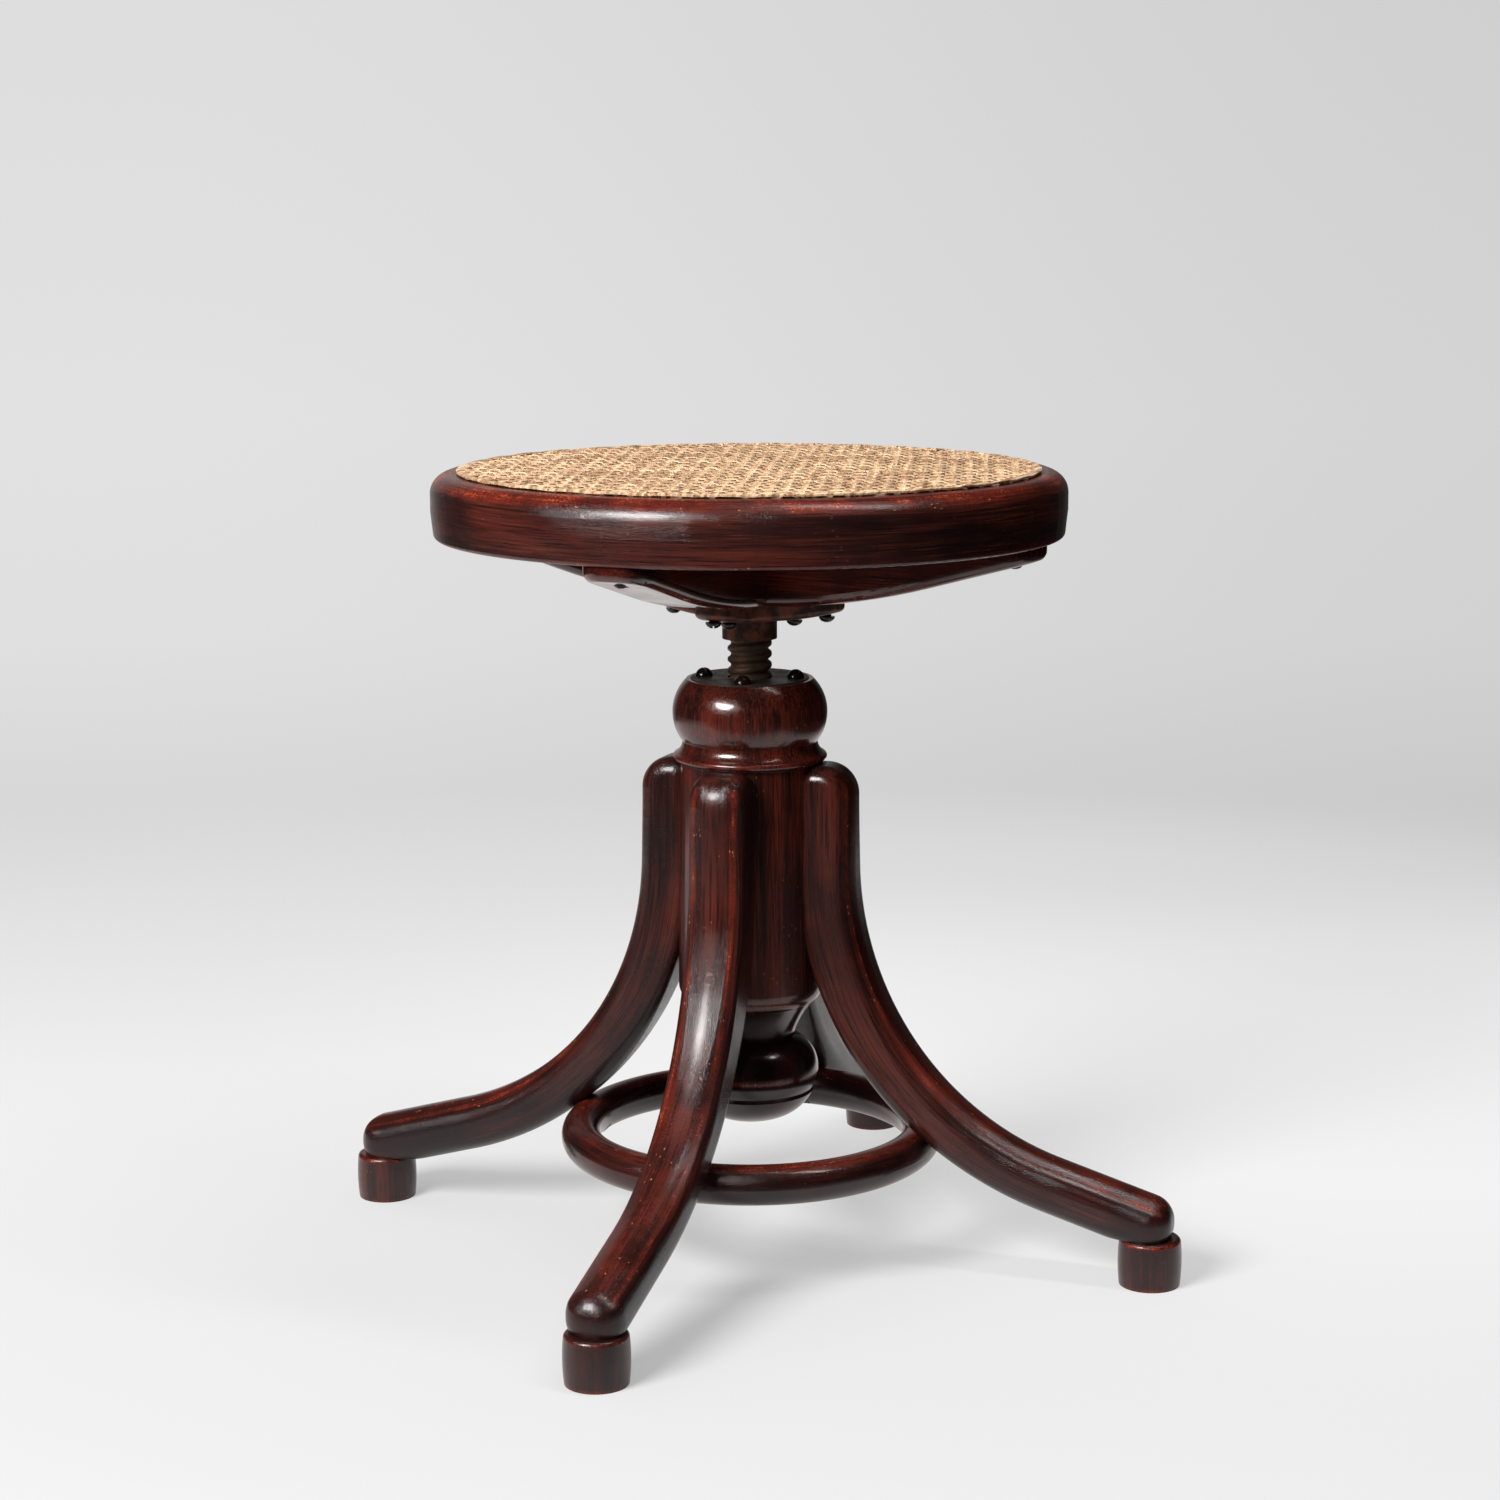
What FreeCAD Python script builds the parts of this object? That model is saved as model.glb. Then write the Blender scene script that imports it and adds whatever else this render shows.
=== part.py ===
import FreeCAD, Part
import math
import os

# A revolving stool for a piano, in bent and turned beech with iron fittings.
# Four steam-bent legs are let into a turned column. An iron spindle screws
# up and down through a nut in the column's head and carries a round caned
# seat on a cross of two half-lapped bars.
# Millimetres. Z is up, the origin is on the floor under the spindle's axis,
# and the front leg points along -Y.

V = FreeCAD.Vector

# Fits
GLUE_GAP = 0.1
RUNNING_GAP = 0.06
LOOSE_GAP = 0.3
# How far a tool runs past the faces that it cuts through, and how close two
# places are that count as the same
PAST = 1.0
SAME = 1e-4
# A corner stays this much rounder than the edge that runs over it
CORNER_MARGIN = 0.5

# Column, from the bottom edge up to the head
COLUMN_BOTTOM_Z = 146.0
COLUMN_BOTTOM_R = 37.0
COLUMN_BOTTOM_ROUND = 10.0
COLUMN_LOW_R = 42.0
COLUMN_TOP_R = 40.3
COLUMN_SHAFT_TOP_Z = 286.5
COLLAR_STEP_R = 42.2
COLLAR_STEP_HEIGHT = 2.0
COLLAR_STEP_BEVEL = 0.8
COLLAR_R = 44.3
COLLAR_EDGE_HEIGHT = 3.2
COLLAR_EDGE_ROUND = 0.8
NECK_R = 38.9
NECK_Z = 299.0
BULB_R = 44.5
BULB_Z = 315.8
BULB_TOP_R = 36.3
COLUMN_TOP_Z = 335.0
COLUMN_BORE_R = 17.0

# Finial under the column
FINIAL_CONE_R = 25.0
FINIAL_CONE_Z = 124.5
FINIAL_CONE_HOLLOW = 1.3
FINIAL_BALL_R = 39.4
FINIAL_BALL_Z = 104.5
FINIAL_GROOVE_R = 36.6
FINIAL_GROOVE_Z = 93.0
FINIAL_GROOVE_STEP = 1.2
FINIAL_BOTTOM_R = 10.0
FINIAL_BOTTOM_Z = 75.0
FINIAL_TENON_LENGTH = 6.0

# Bent legs: a straight run on the column, one long bend and a straight toe,
# whose underside is cut flat over the landing at its end. The long edges are
# crisp where the bend starts and rounder towards the top and the toe
LEG_WIDTH = 33.0
LEG_THICKNESS = 31.0
LEG_TOP_EDGE_ROUND = 10.0
LEG_EDGE_ROUND = 7.5
LEG_TOE_EDGE_ROUND = 14.0
LEG_FACE_R = 63.5
LEG_TOP_OVER_SHAFT = 1.3
LEG_TOP_ROUND = 18.0
LEG_BEND_RADIUS = 183.0
LEG_BEND_ANGLE = 74.0
LEG_END_R = 252.0
LEG_END_ROUND = 14.6
LEG_LANDING = 42.0
LEG_BACK_R = 37.0

# Dowels that pin each leg to the column
LEG_DOWEL_R = 5.0
LEG_DOWEL_HEIGHTS = (206.0, 266.0)
LEG_DOWEL_IN_COLUMN = 11.0
LEG_DOWEL_IN_LEG = 15.0

# Feet
FOOT_R = 18.0
FOOT_END_R = 17.2
FOOT_HEIGHT = 27.5
FOOT_ROUND = 2.5
FOOT_INSET = 13.0
FOOT_DOWEL_R = 4.5
FOOT_DOWEL_IN_FOOT = 15.0
FOOT_DOWEL_IN_LEG = 12.0

# Foot ring, let into the undersides of the legs
RING_Z = 65.0
RING_TUBE_R = 11.4
RING_LET_IN = 0.9
RING_SCREW_R = 2.4
RING_SCREW_HEAD_R = 4.6
RING_SCREW_HEAD_HEIGHT = 2.4
RING_SCREW_IN_LEG = 14.0
RING_SCREW_SINK = 2.0

# Nut plate in the column's head
PLATE_R = 34.0
PLATE_THICKNESS = 5.0
PLATE_PROUD = 0.6
PLATE_EDGE_ROUND = 0.5
PLATE_HUB_LENGTH = 28.0
PLATE_SCREW_CIRCLE_R = 26.5
PLATE_SCREW_R = 2.6
PLATE_SCREW_HEAD_R = 5.0
PLATE_SCREW_HEAD_HEIGHT = 3.4
PLATE_SCREW_IN_WOOD = 17.0
PLATE_SCREW_ANGLE = 11.0

# Spindle, with its stop collar and nut at the lower end
SPINDLE_R = 12.7
SPINDLE_EXPOSED = 22.4
SPINDLE_BELOW_PLATE = 145.0
SPINDLE_LOWER_TENON_R = 8.0
SPINDLE_TENON_R = 9.0
SPINDLE_TENON_IN_CROSS = 12.0
SPINDLE_BEVEL = 1.0
STOP_COLLAR_R = 16.4
STOP_COLLAR_THICKNESS = 7.5
SPINDLE_NUT_ACROSS_CORNERS = 28.0
SPINDLE_NUT_THICKNESS = 6.0

# Four-lobed flange
SOCKET_R = 15.7
SOCKET_HEIGHT = 10.5
FLANGE_THICKNESS = 9.5
FLANGE_TIP_THICKNESS = 5.5
FLANGE_EDGE_ROUND = 3.4
FLANGE_CROTCH_ROUND = 11.0
FLANGE_REACH = 58.0
FLANGE_LOBE_WIDTH = 21.0
FLANGE_SCREW_RADII = (28.0, 48.0)
FLANGE_SCREW_R = 2.5
FLANGE_SCREW_HEAD_R = 4.6
FLANGE_SCREW_HEAD_HEIGHT = 3.4
FLANGE_SCREW_IN_WOOD = 18.0

# Seat cross of two half-lapped bars
CROSS_ANGLE = -5.0
BAR_END_INSET = 2.9
BAR_WIDTH = 40.0
BAR_DEPTH = 40.0
BAR_END_DEPTH = 7.5
BAR_TAPER_ANGLE = 15.57
BAR_ROUND = 6.0
BAR_END_ROUND = 14.0
BAR_SCREW_INSET = 20.0
BAR_SCREW_R = 2.2
BAR_SCREW_HEAD_R = 4.0
BAR_SCREW_HEAD_HEIGHT = 2.4
BAR_SCREW_IN_RIM = 18.0

# Seat rim
RIM_R = 180.0
RIM_FOOT_INSET = 1.6
RIM_BELLY_HEIGHT = 15.0
RIM_WIDTH = 31.0
RIM_HEIGHT = 35.7
RIM_TOP_ROUND = 11.0
RIM_FOOT_ROUND = 2.5
RIM_INNER_ROUND = 3.0

# Cane
CANE_INSET = 13.0
CANE_THICKNESS = 1.5
CANE_ANGLE = -29.6
CANE_MESH = 14.5
CANE_HOLE = 8.4
CANE_HOLE_CORNER = 2.6
CANE_BORDER = 4.0
BINDING_INSET = 4.5
BINDING_WIDTH = 5.0
BINDING_HEIGHT = 1.3
BINDING_BEVEL = 1.2

# Heights that follow
PLATE_TOP_Z = COLUMN_TOP_Z + PLATE_PROUD
SOCKET_BOTTOM_Z = PLATE_TOP_Z + SPINDLE_EXPOSED
FLANGE_BOTTOM_Z = SOCKET_BOTTOM_Z + SOCKET_HEIGHT
CROSS_BOTTOM_Z = FLANGE_BOTTOM_Z + FLANGE_THICKNESS
CROSS_TOP_Z = CROSS_BOTTOM_Z + BAR_DEPTH
RIM_TOP_Z = CROSS_TOP_Z + RIM_HEIGHT
CANE_TOP_Z = RIM_TOP_Z + CANE_THICKNESS
SHOULDER_Z = PLATE_TOP_Z - SPINDLE_BELOW_PLATE
LEG_TOP_Z = COLUMN_SHAFT_TOP_Z + LEG_TOP_OVER_SHAFT

# Radii that follow
FOOT_CENTRE_R = LEG_END_R - FOOT_INSET
RIM_INNER_R = RIM_R - RIM_WIDTH
RIM_FOOT_R = RIM_R - RIM_FOOT_INSET
BAR_REACH = RIM_FOOT_R - BAR_END_INSET
BAR_SCREW_AT = RIM_R - BAR_SCREW_INSET
CANE_R = RIM_R - CANE_INSET
BINDING_R = CANE_R - BINDING_INSET

# The curve under a bar, which runs out into the straight taper to its end
BAR_TAPER = math.radians(BAR_TAPER_ANGLE)
BAR_TAPER_RISE = BAR_REACH * math.tan(BAR_TAPER) - (BAR_DEPTH - BAR_END_DEPTH)
BAR_CURVE_RADIUS = BAR_TAPER_RISE / (1 / math.cos(BAR_TAPER) - 1)
BAR_CURVE_REACH = BAR_CURVE_RADIUS * math.sin(BAR_TAPER)

LEG_ANGLES = {"leg_right": 0.0, "leg_back": 90.0, "leg_left": 180.0, "leg_front": 270.0}


# Helpers

def line(a, b):
    return Part.makeLine(a, b)


def arc(a, middle, b):
    return Part.Arc(a, middle, b).toShape()


def arc_about(centre, radius, start, end):
    """An arc in the XZ plane; angles in degrees from +X towards +Z."""
    points = []
    for angle in (start, (start + end) / 2, end):
        t = math.radians(angle)
        points.append(V(centre[0] + radius * math.cos(t), 0, centre[1] + radius * math.sin(t)))
    return arc(*points)


def rz(r, z):
    return V(r, 0, z)


def arc_leaving(a, way, b):
    """The arc from a to b that leaves a in the direction of a unit vector."""
    chord = b - a
    ahead = chord.dot(way)
    side = chord - way * ahead
    radius = chord.dot(chord) / (2 * side.Length)
    centre = a + side * (radius / side.Length)
    middle = (a + b) / 2 - centre
    if ahead < 0:
        middle = middle * -1
    middle.normalize()
    return arc(a, centre + middle * radius, b)


def arc_bowed(a, b, bow):
    """The arc from a to b whose middle stands off the chord, to the left of the way from a to b."""
    chord = b - a
    left = rz(-chord.z, chord.x)
    left.normalize()
    return arc(a, (a + b) / 2 + left * bow, b)


def turned(edges):
    """A solid of revolution about the stool's axis from a closed half profile."""
    face = Part.Face(Part.Wire(Part.__sortEdges__(edges)))
    return face.revolve(V(0, 0, 0), V(0, 0, 1), 360)


def cylinder(radius, z_low, z_high, x=0.0, y=0.0):
    return Part.makeCylinder(radius, z_high - z_low, V(x, y, z_low))


def peg(radius, start, end):
    return Part.makeCylinder(radius, (end - start).Length, start, end - start)


def spun(shape, degrees):
    copy = shape.copy()
    copy.rotate(V(0, 0, 0), V(0, 0, 1), degrees)
    return copy


def around(shape, count, start=0.0):
    """Equal copies about the stool's axis."""
    return [spun(shape, start + i * 360.0 / count) for i in range(count)]


def round_edges(solid, radius, wanted):
    return solid.makeFillet(radius, [e for e in solid.Edges if wanted(e)])


def round_varying(solid, radii):
    """Rounds edges by (number, radius where the edge starts, radius where it ends)."""
    sheet = FreeCAD.newDocument("rounds")
    sharp = sheet.addObject("Part::Feature", "sharp")
    sharp.Shape = solid
    rounded = sheet.addObject("Part::Fillet", "rounded")
    rounded.Base = sharp
    rounded.Edges = radii
    sheet.recompute()
    shape = rounded.Shape.copy()
    FreeCAD.closeDocument(sheet.Name)
    return shape


def closed_at(z):
    """Picks the full circles at a height."""
    return lambda e: e.Closed and abs(e.CenterOfMass.z - z) < SAME


def screw(radius, head_r, head_h, length):
    """A round-head screw along +Z: the seat of its head is at z = 0, its tip at z = length."""
    dome_r = (head_r ** 2 + head_h ** 2) / (2 * head_h)
    rise = math.sqrt(0.5) * head_r
    mid_h = head_h - dome_r + math.sqrt(dome_r ** 2 - rise ** 2)
    edges = [
        line(rz(0, -head_h), rz(0, length)),
        line(rz(0, length), rz(radius, length - radius)),
        line(rz(radius, length - radius), rz(radius, 0)),
        line(rz(radius, 0), rz(head_r, 0)),
        arc(rz(head_r, 0), rz(rise, -mid_h), rz(0, -head_h)),
    ]
    return turned(edges)


def placed(shape, at, direction=V(0, 0, 1)):
    copy = shape.copy()
    copy.Placement = FreeCAD.Placement(at, FreeCAD.Rotation(V(0, 0, 1), direction))
    return copy


# Bent leg, drawn in the XZ plane as the right-hand leg

class LegLine:
    """The centreline of a bent leg, and lines beside it at a given offset outwards."""

    def __init__(self):
        turn = math.radians(LEG_BEND_ANGLE)
        centre_r = LEG_FACE_R - LEG_THICKNESS / 2 + LEG_BEND_RADIUS
        under_radius = LEG_BEND_RADIUS + LEG_THICKNESS / 2
        bend_end_r = centre_r - under_radius * math.cos(turn)
        toe_fall = (LEG_END_R - LEG_LANDING - bend_end_r) / math.tan(turn)
        self.way = rz(math.sin(turn), -math.cos(turn))
        self.bend_centre = rz(centre_r, FOOT_HEIGHT + toe_fall + under_radius * math.sin(turn))

    def edges(self, offset):
        """Edges from the top down to the toe, at an offset from the centreline, and the toe's point."""
        centre = self.bend_centre
        radius = LEG_BEND_RADIUS - offset
        start = rz(centre.x - radius, centre.z)
        bend = arc_about((centre.x, centre.z), radius, 180, 180 + LEG_BEND_ANGLE)
        bend_end = bend.Vertexes[-1].Point
        toe = bend_end + self.way * ((LEG_END_R - bend_end.x) / self.way.x)
        return [line(rz(start.x, LEG_TOP_Z), start), bend, line(bend_end, toe)], toe

    def ring_centre_r(self):
        """Where the ring's centreline runs so that its tube sinks into the legs."""
        reach = LEG_BEND_RADIUS + LEG_THICKNESS / 2 + RING_TUBE_R - RING_LET_IN
        drop = self.bend_centre.z - RING_Z
        return self.bend_centre.x - math.sqrt(reach ** 2 - drop ** 2)


LEG_LINE = LegLine()
RING_R = LEG_LINE.ring_centre_r()


def leg_blank():
    """The bent stick: both sides rounded over all the way round, ends included."""
    outer, outer_toe = LEG_LINE.edges(LEG_THICKNESS / 2)
    inner, inner_toe = LEG_LINE.edges(-LEG_THICKNESS / 2)
    top_outer = outer[0].Vertexes[0].Point
    top_inner = inner[0].Vertexes[0].Point
    outline = Part.Wire(Part.__sortEdges__(
        outer + [line(outer_toe, inner_toe)] + inner + [line(top_inner, top_outer)]))
    face = Part.Face(outline)
    face.translate(V(0, -LEG_WIDTH / 2, 0))
    stick = face.extrude(V(0, LEG_WIDTH, 0))

    def across(point):
        return lambda e: all(abs(v.X - point.x) + abs(v.Z - point.z) < SAME for v in e.Vertexes)

    hidden_top_round = LEG_TOP_EDGE_ROUND + CORNER_MARGIN
    top_round = min(LEG_TOP_ROUND, LEG_THICKNESS - hidden_top_round - CORNER_MARGIN)
    end_round = min(LEG_END_ROUND, (LEG_THICKNESS - CORNER_MARGIN) / 2)
    toe_edge_round = min(LEG_TOE_EDGE_ROUND, end_round - CORNER_MARGIN)
    stick = round_edges(stick, top_round, across(top_outer))
    stick = round_edges(stick, end_round, across(outer_toe))
    stick = round_edges(stick, hidden_top_round, across(top_inner))
    stick = round_edges(stick, toe_edge_round + CORNER_MARGIN, across(inner_toe))

    def round_at(point):
        above_bend = point.z - LEG_LINE.bend_centre.z
        if abs(above_bend) < SAME:
            return LEG_EDGE_ROUND
        return LEG_TOP_EDGE_ROUND if above_bend > 0 else toe_edge_round

    radii = []
    for number, e in enumerate(stick.Edges, 1):
        if abs(abs(e.CenterOfMass.y) - LEG_WIDTH / 2) < SAME:
            radii.append((number, round_at(e.valueAt(e.FirstParameter)), round_at(e.valueAt(e.LastParameter))))
    return round_varying(stick, radii)


def leg_dowel(z):
    return peg(LEG_DOWEL_R, rz(LEG_BACK_R - LEG_DOWEL_IN_COLUMN, z), rz(LEG_BACK_R + LEG_DOWEL_IN_LEG, z))


def leg_dowel_hole(z):
    return peg(LEG_DOWEL_R + GLUE_GAP, rz(LEG_BACK_R - LEG_DOWEL_IN_COLUMN - GLUE_GAP, z),
               rz(LEG_BACK_R + LEG_DOWEL_IN_LEG + GLUE_GAP, z))


def ring_screw_line():
    """The seat of the ring screw's head, and the way that it points, in the leg's plane."""
    centre = rz(RING_R, RING_Z)
    direction = LEG_LINE.bend_centre - centre
    direction.normalize()
    direction = direction * -1
    seat = centre + direction * (RING_TUBE_R - RING_SCREW_SINK)
    return seat, direction * -1


def ring_torus(extra=0.0):
    return Part.makeTorus(RING_R, RING_TUBE_R + extra, V(0, 0, RING_Z))


def ring_screw_length():
    return 2 * RING_TUBE_R - RING_SCREW_SINK - RING_LET_IN + RING_SCREW_IN_LEG


def ring_screw_hole():
    seat, way = ring_screw_line()
    outside = seat - way * RING_TUBE_R
    shank = peg(RING_SCREW_R + GLUE_GAP, outside, seat + way * (ring_screw_length() + GLUE_GAP))
    mouth = peg(RING_SCREW_HEAD_R + GLUE_GAP, outside, seat)
    return shank, mouth


def leg():
    stick = leg_blank()
    high = LEG_TOP_Z + LEG_WIDTH
    behind = Part.makeBox(LEG_BACK_R, 2 * LEG_WIDTH, high, V(0, -LEG_WIDTH, 0))
    below = Part.makeBox(2 * LEG_END_R, 2 * LEG_WIDTH, FOOT_HEIGHT, V(0, -LEG_WIDTH, 0))
    shank, mouth = ring_screw_hole()
    cuts = [behind, below, ring_torus(GLUE_GAP), shank]
    cuts += [leg_dowel_hole(z) for z in LEG_DOWEL_HEIGHTS]
    cuts.append(foot_dowel(GLUE_GAP))
    for cut in cuts:
        stick = stick.cut(cut)
    return stick


# Feet

def foot_dowel(extra=0.0):
    return cylinder(FOOT_DOWEL_R + extra, FOOT_HEIGHT - FOOT_DOWEL_IN_FOOT - extra,
                    FOOT_HEIGHT + FOOT_DOWEL_IN_LEG + extra, FOOT_CENTRE_R)


def foot():
    belly = FOOT_HEIGHT / 2
    edges = [
        line(rz(0, 0), rz(FOOT_END_R, 0)),
        arc(rz(FOOT_END_R, 0), rz(FOOT_R, belly), rz(FOOT_END_R, FOOT_HEIGHT)),
        line(rz(FOOT_END_R, FOOT_HEIGHT), rz(0, FOOT_HEIGHT)),
        line(rz(0, FOOT_HEIGHT), rz(0, 0)),
    ]
    block = turned(edges)
    block = round_edges(block, FOOT_ROUND, closed_at(FOOT_HEIGHT))
    block.translate(V(FOOT_CENTRE_R, 0, 0))
    return block.cut(foot_dowel(GLUE_GAP))


# Column and finial

def column_blank():
    up = V(0, 0, 1)
    shaft_low = rz(COLUMN_LOW_R, COLUMN_BOTTOM_Z + COLUMN_BOTTOM_ROUND)
    shaft_top = rz(COLUMN_TOP_R, COLUMN_SHAFT_TOP_Z)
    bottom = rz(COLUMN_BOTTOM_R, COLUMN_BOTTOM_Z)
    step_top_z = COLUMN_SHAFT_TOP_Z + COLLAR_STEP_HEIGHT
    step_low = rz(COLLAR_STEP_R, COLUMN_SHAFT_TOP_Z + COLLAR_STEP_BEVEL)
    step_top = rz(COLLAR_STEP_R, step_top_z)
    collar_low = rz(COLLAR_R - COLLAR_EDGE_ROUND, step_top_z)
    collar_top = rz(COLLAR_R - COLLAR_EDGE_ROUND, step_top_z + COLLAR_EDGE_HEIGHT)
    neck = rz(NECK_R, NECK_Z)
    bulb = rz(BULB_R, BULB_Z)
    head = rz(BULB_TOP_R, COLUMN_TOP_Z)
    edges = [
        line(rz(0, COLUMN_BOTTOM_Z), bottom),
        arc_leaving(shaft_low, up * -1, bottom),
        line(shaft_low, shaft_top),
        line(shaft_top, step_low),
        line(step_low, step_top),
        line(step_top, collar_low),
        arc(collar_low, rz(COLLAR_R, step_top_z + COLLAR_EDGE_HEIGHT / 2), collar_top),
        arc_leaving(neck, up * -1, collar_top),
        arc_leaving(bulb, up * -1, neck),
        arc_leaving(bulb, up, head),
        line(head, rz(0, COLUMN_TOP_Z)),
        line(rz(0, COLUMN_TOP_Z), rz(0, COLUMN_BOTTOM_Z)),
    ]
    return turned(edges)


def column(leg_solid):
    body = column_blank()
    seat_z = PLATE_TOP_Z - PLATE_THICKNESS
    body = body.cut(cylinder(COLUMN_BORE_R, 0, COLUMN_TOP_Z + PAST))
    body = body.cut(cylinder(PLATE_R + GLUE_GAP, seat_z, COLUMN_TOP_Z + PAST))
    hole = cylinder(PLATE_SCREW_R + GLUE_GAP, seat_z - PLATE_SCREW_IN_WOOD - GLUE_GAP, COLUMN_TOP_Z + PAST,
                    PLATE_SCREW_CIRCLE_R)
    for cut in around(hole, 4, PLATE_SCREW_ANGLE):
        body = body.cut(cut)
    for degrees in LEG_ANGLES.values():
        body = body.cut(spun(leg_solid, degrees))
        for z in LEG_DOWEL_HEIGHTS:
            body = body.cut(spun(leg_dowel_hole(z), degrees))
    return body


def finial():
    up = V(0, 0, 1)
    tenon_r = COLUMN_BORE_R - GLUE_GAP
    tenon_top_z = COLUMN_BOTTOM_Z + FINIAL_TENON_LENGTH
    bottom = rz(FINIAL_BOTTOM_R, FINIAL_BOTTOM_Z)
    groove_low = rz(FINIAL_GROOVE_R, FINIAL_GROOVE_Z - FINIAL_GROOVE_STEP)
    groove_top = rz(FINIAL_GROOVE_R, FINIAL_GROOVE_Z + FINIAL_GROOVE_STEP)
    ball = rz(FINIAL_BALL_R, FINIAL_BALL_Z)
    cone = rz(FINIAL_CONE_R, FINIAL_CONE_Z)
    shoulder = rz(COLUMN_BOTTOM_R, COLUMN_BOTTOM_Z)
    edges = [
        line(rz(0, FINIAL_BOTTOM_Z), bottom),
        arc_leaving(bottom, V(1, 0, 0), groove_low),
        line(groove_low, groove_top),
        arc_leaving(ball, up * -1, groove_top),
        arc_leaving(ball, up, cone),
        arc_bowed(cone, shoulder, FINIAL_CONE_HOLLOW),
        line(shoulder, rz(tenon_r, COLUMN_BOTTOM_Z)),
        line(rz(tenon_r, COLUMN_BOTTOM_Z), rz(tenon_r, tenon_top_z)),
        line(rz(tenon_r, tenon_top_z), rz(0, tenon_top_z)),
        line(rz(0, tenon_top_z), rz(0, FINIAL_BOTTOM_Z)),
    ]
    return turned(edges)


# Nut plate, spindle and stop

def nut_plate():
    plate = cylinder(PLATE_R, PLATE_TOP_Z - PLATE_THICKNESS, PLATE_TOP_Z)
    plate = round_edges(plate, PLATE_EDGE_ROUND, closed_at(PLATE_TOP_Z))
    hub_bottom = PLATE_TOP_Z - PLATE_THICKNESS - PLATE_HUB_LENGTH
    hub = cylinder(COLUMN_BORE_R - GLUE_GAP, hub_bottom, PLATE_TOP_Z - PLATE_THICKNESS)
    plate = plate.fuse(hub)
    plate = plate.cut(cylinder(SPINDLE_R + RUNNING_GAP, hub_bottom - PAST, PLATE_TOP_Z + PAST))
    hole = cylinder(PLATE_SCREW_R + GLUE_GAP, 0, PLATE_TOP_Z + PAST, PLATE_SCREW_CIRCLE_R)
    for cut in around(hole, 4, PLATE_SCREW_ANGLE):
        plate = plate.cut(cut)
    return plate.removeSplitter()


def nut_plate_screws():
    length = PLATE_THICKNESS + PLATE_SCREW_IN_WOOD
    one = screw(PLATE_SCREW_R, PLATE_SCREW_HEAD_R, PLATE_SCREW_HEAD_HEIGHT, length)
    one = placed(one, V(PLATE_SCREW_CIRCLE_R, 0, PLATE_TOP_Z), V(0, 0, -1))
    return around(one, 4, PLATE_SCREW_ANGLE)


def spindle():
    """The threaded bar at its crest size; both ends are turned down to tenons."""
    low_z = SHOULDER_Z - STOP_COLLAR_THICKNESS - 2 * LOOSE_GAP - SPINDLE_NUT_THICKNESS
    high_z = CROSS_BOTTOM_Z + SPINDLE_TENON_IN_CROSS
    corners = [
        rz(0, low_z),
        rz(SPINDLE_LOWER_TENON_R - SPINDLE_BEVEL, low_z),
        rz(SPINDLE_LOWER_TENON_R, low_z + SPINDLE_BEVEL),
        rz(SPINDLE_LOWER_TENON_R, SHOULDER_Z),
        rz(SPINDLE_R, SHOULDER_Z),
        rz(SPINDLE_R, SOCKET_BOTTOM_Z),
        rz(SPINDLE_TENON_R, SOCKET_BOTTOM_Z),
        rz(SPINDLE_TENON_R, high_z - SPINDLE_BEVEL),
        rz(SPINDLE_TENON_R - SPINDLE_BEVEL, high_z),
        rz(0, high_z),
    ]
    return turned(Part.makePolygon(corners + corners[:1]).Edges)


def stop_collar():
    top_z = SHOULDER_Z - LOOSE_GAP
    ring = cylinder(STOP_COLLAR_R, top_z - STOP_COLLAR_THICKNESS, top_z)
    return ring.cut(cylinder(SPINDLE_LOWER_TENON_R + RUNNING_GAP, 0, top_z + PAST))


def spindle_nut():
    top_z = SHOULDER_Z - STOP_COLLAR_THICKNESS - 2 * LOOSE_GAP
    corner = V(SPINDLE_NUT_ACROSS_CORNERS / 2, 0, top_z - SPINDLE_NUT_THICKNESS)
    corners = [FreeCAD.Rotation(V(0, 0, 1), i * 360.0 / 6).multVec(corner) for i in range(6)]
    prism = Part.Face(Part.makePolygon(corners + corners[:1])).extrude(V(0, 0, SPINDLE_NUT_THICKNESS))
    return prism.cut(cylinder(SPINDLE_LOWER_TENON_R + GLUE_GAP, 0, top_z + PAST))


# Seat cross

def bar_underside_z(along):
    """Height of a bar's underside at a distance from the axis."""
    reach = min(along, BAR_CURVE_REACH)
    rise = BAR_CURVE_RADIUS - math.sqrt(BAR_CURVE_RADIUS ** 2 - reach ** 2)
    return CROSS_BOTTOM_Z + rise + (along - reach) * math.tan(BAR_TAPER)


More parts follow.
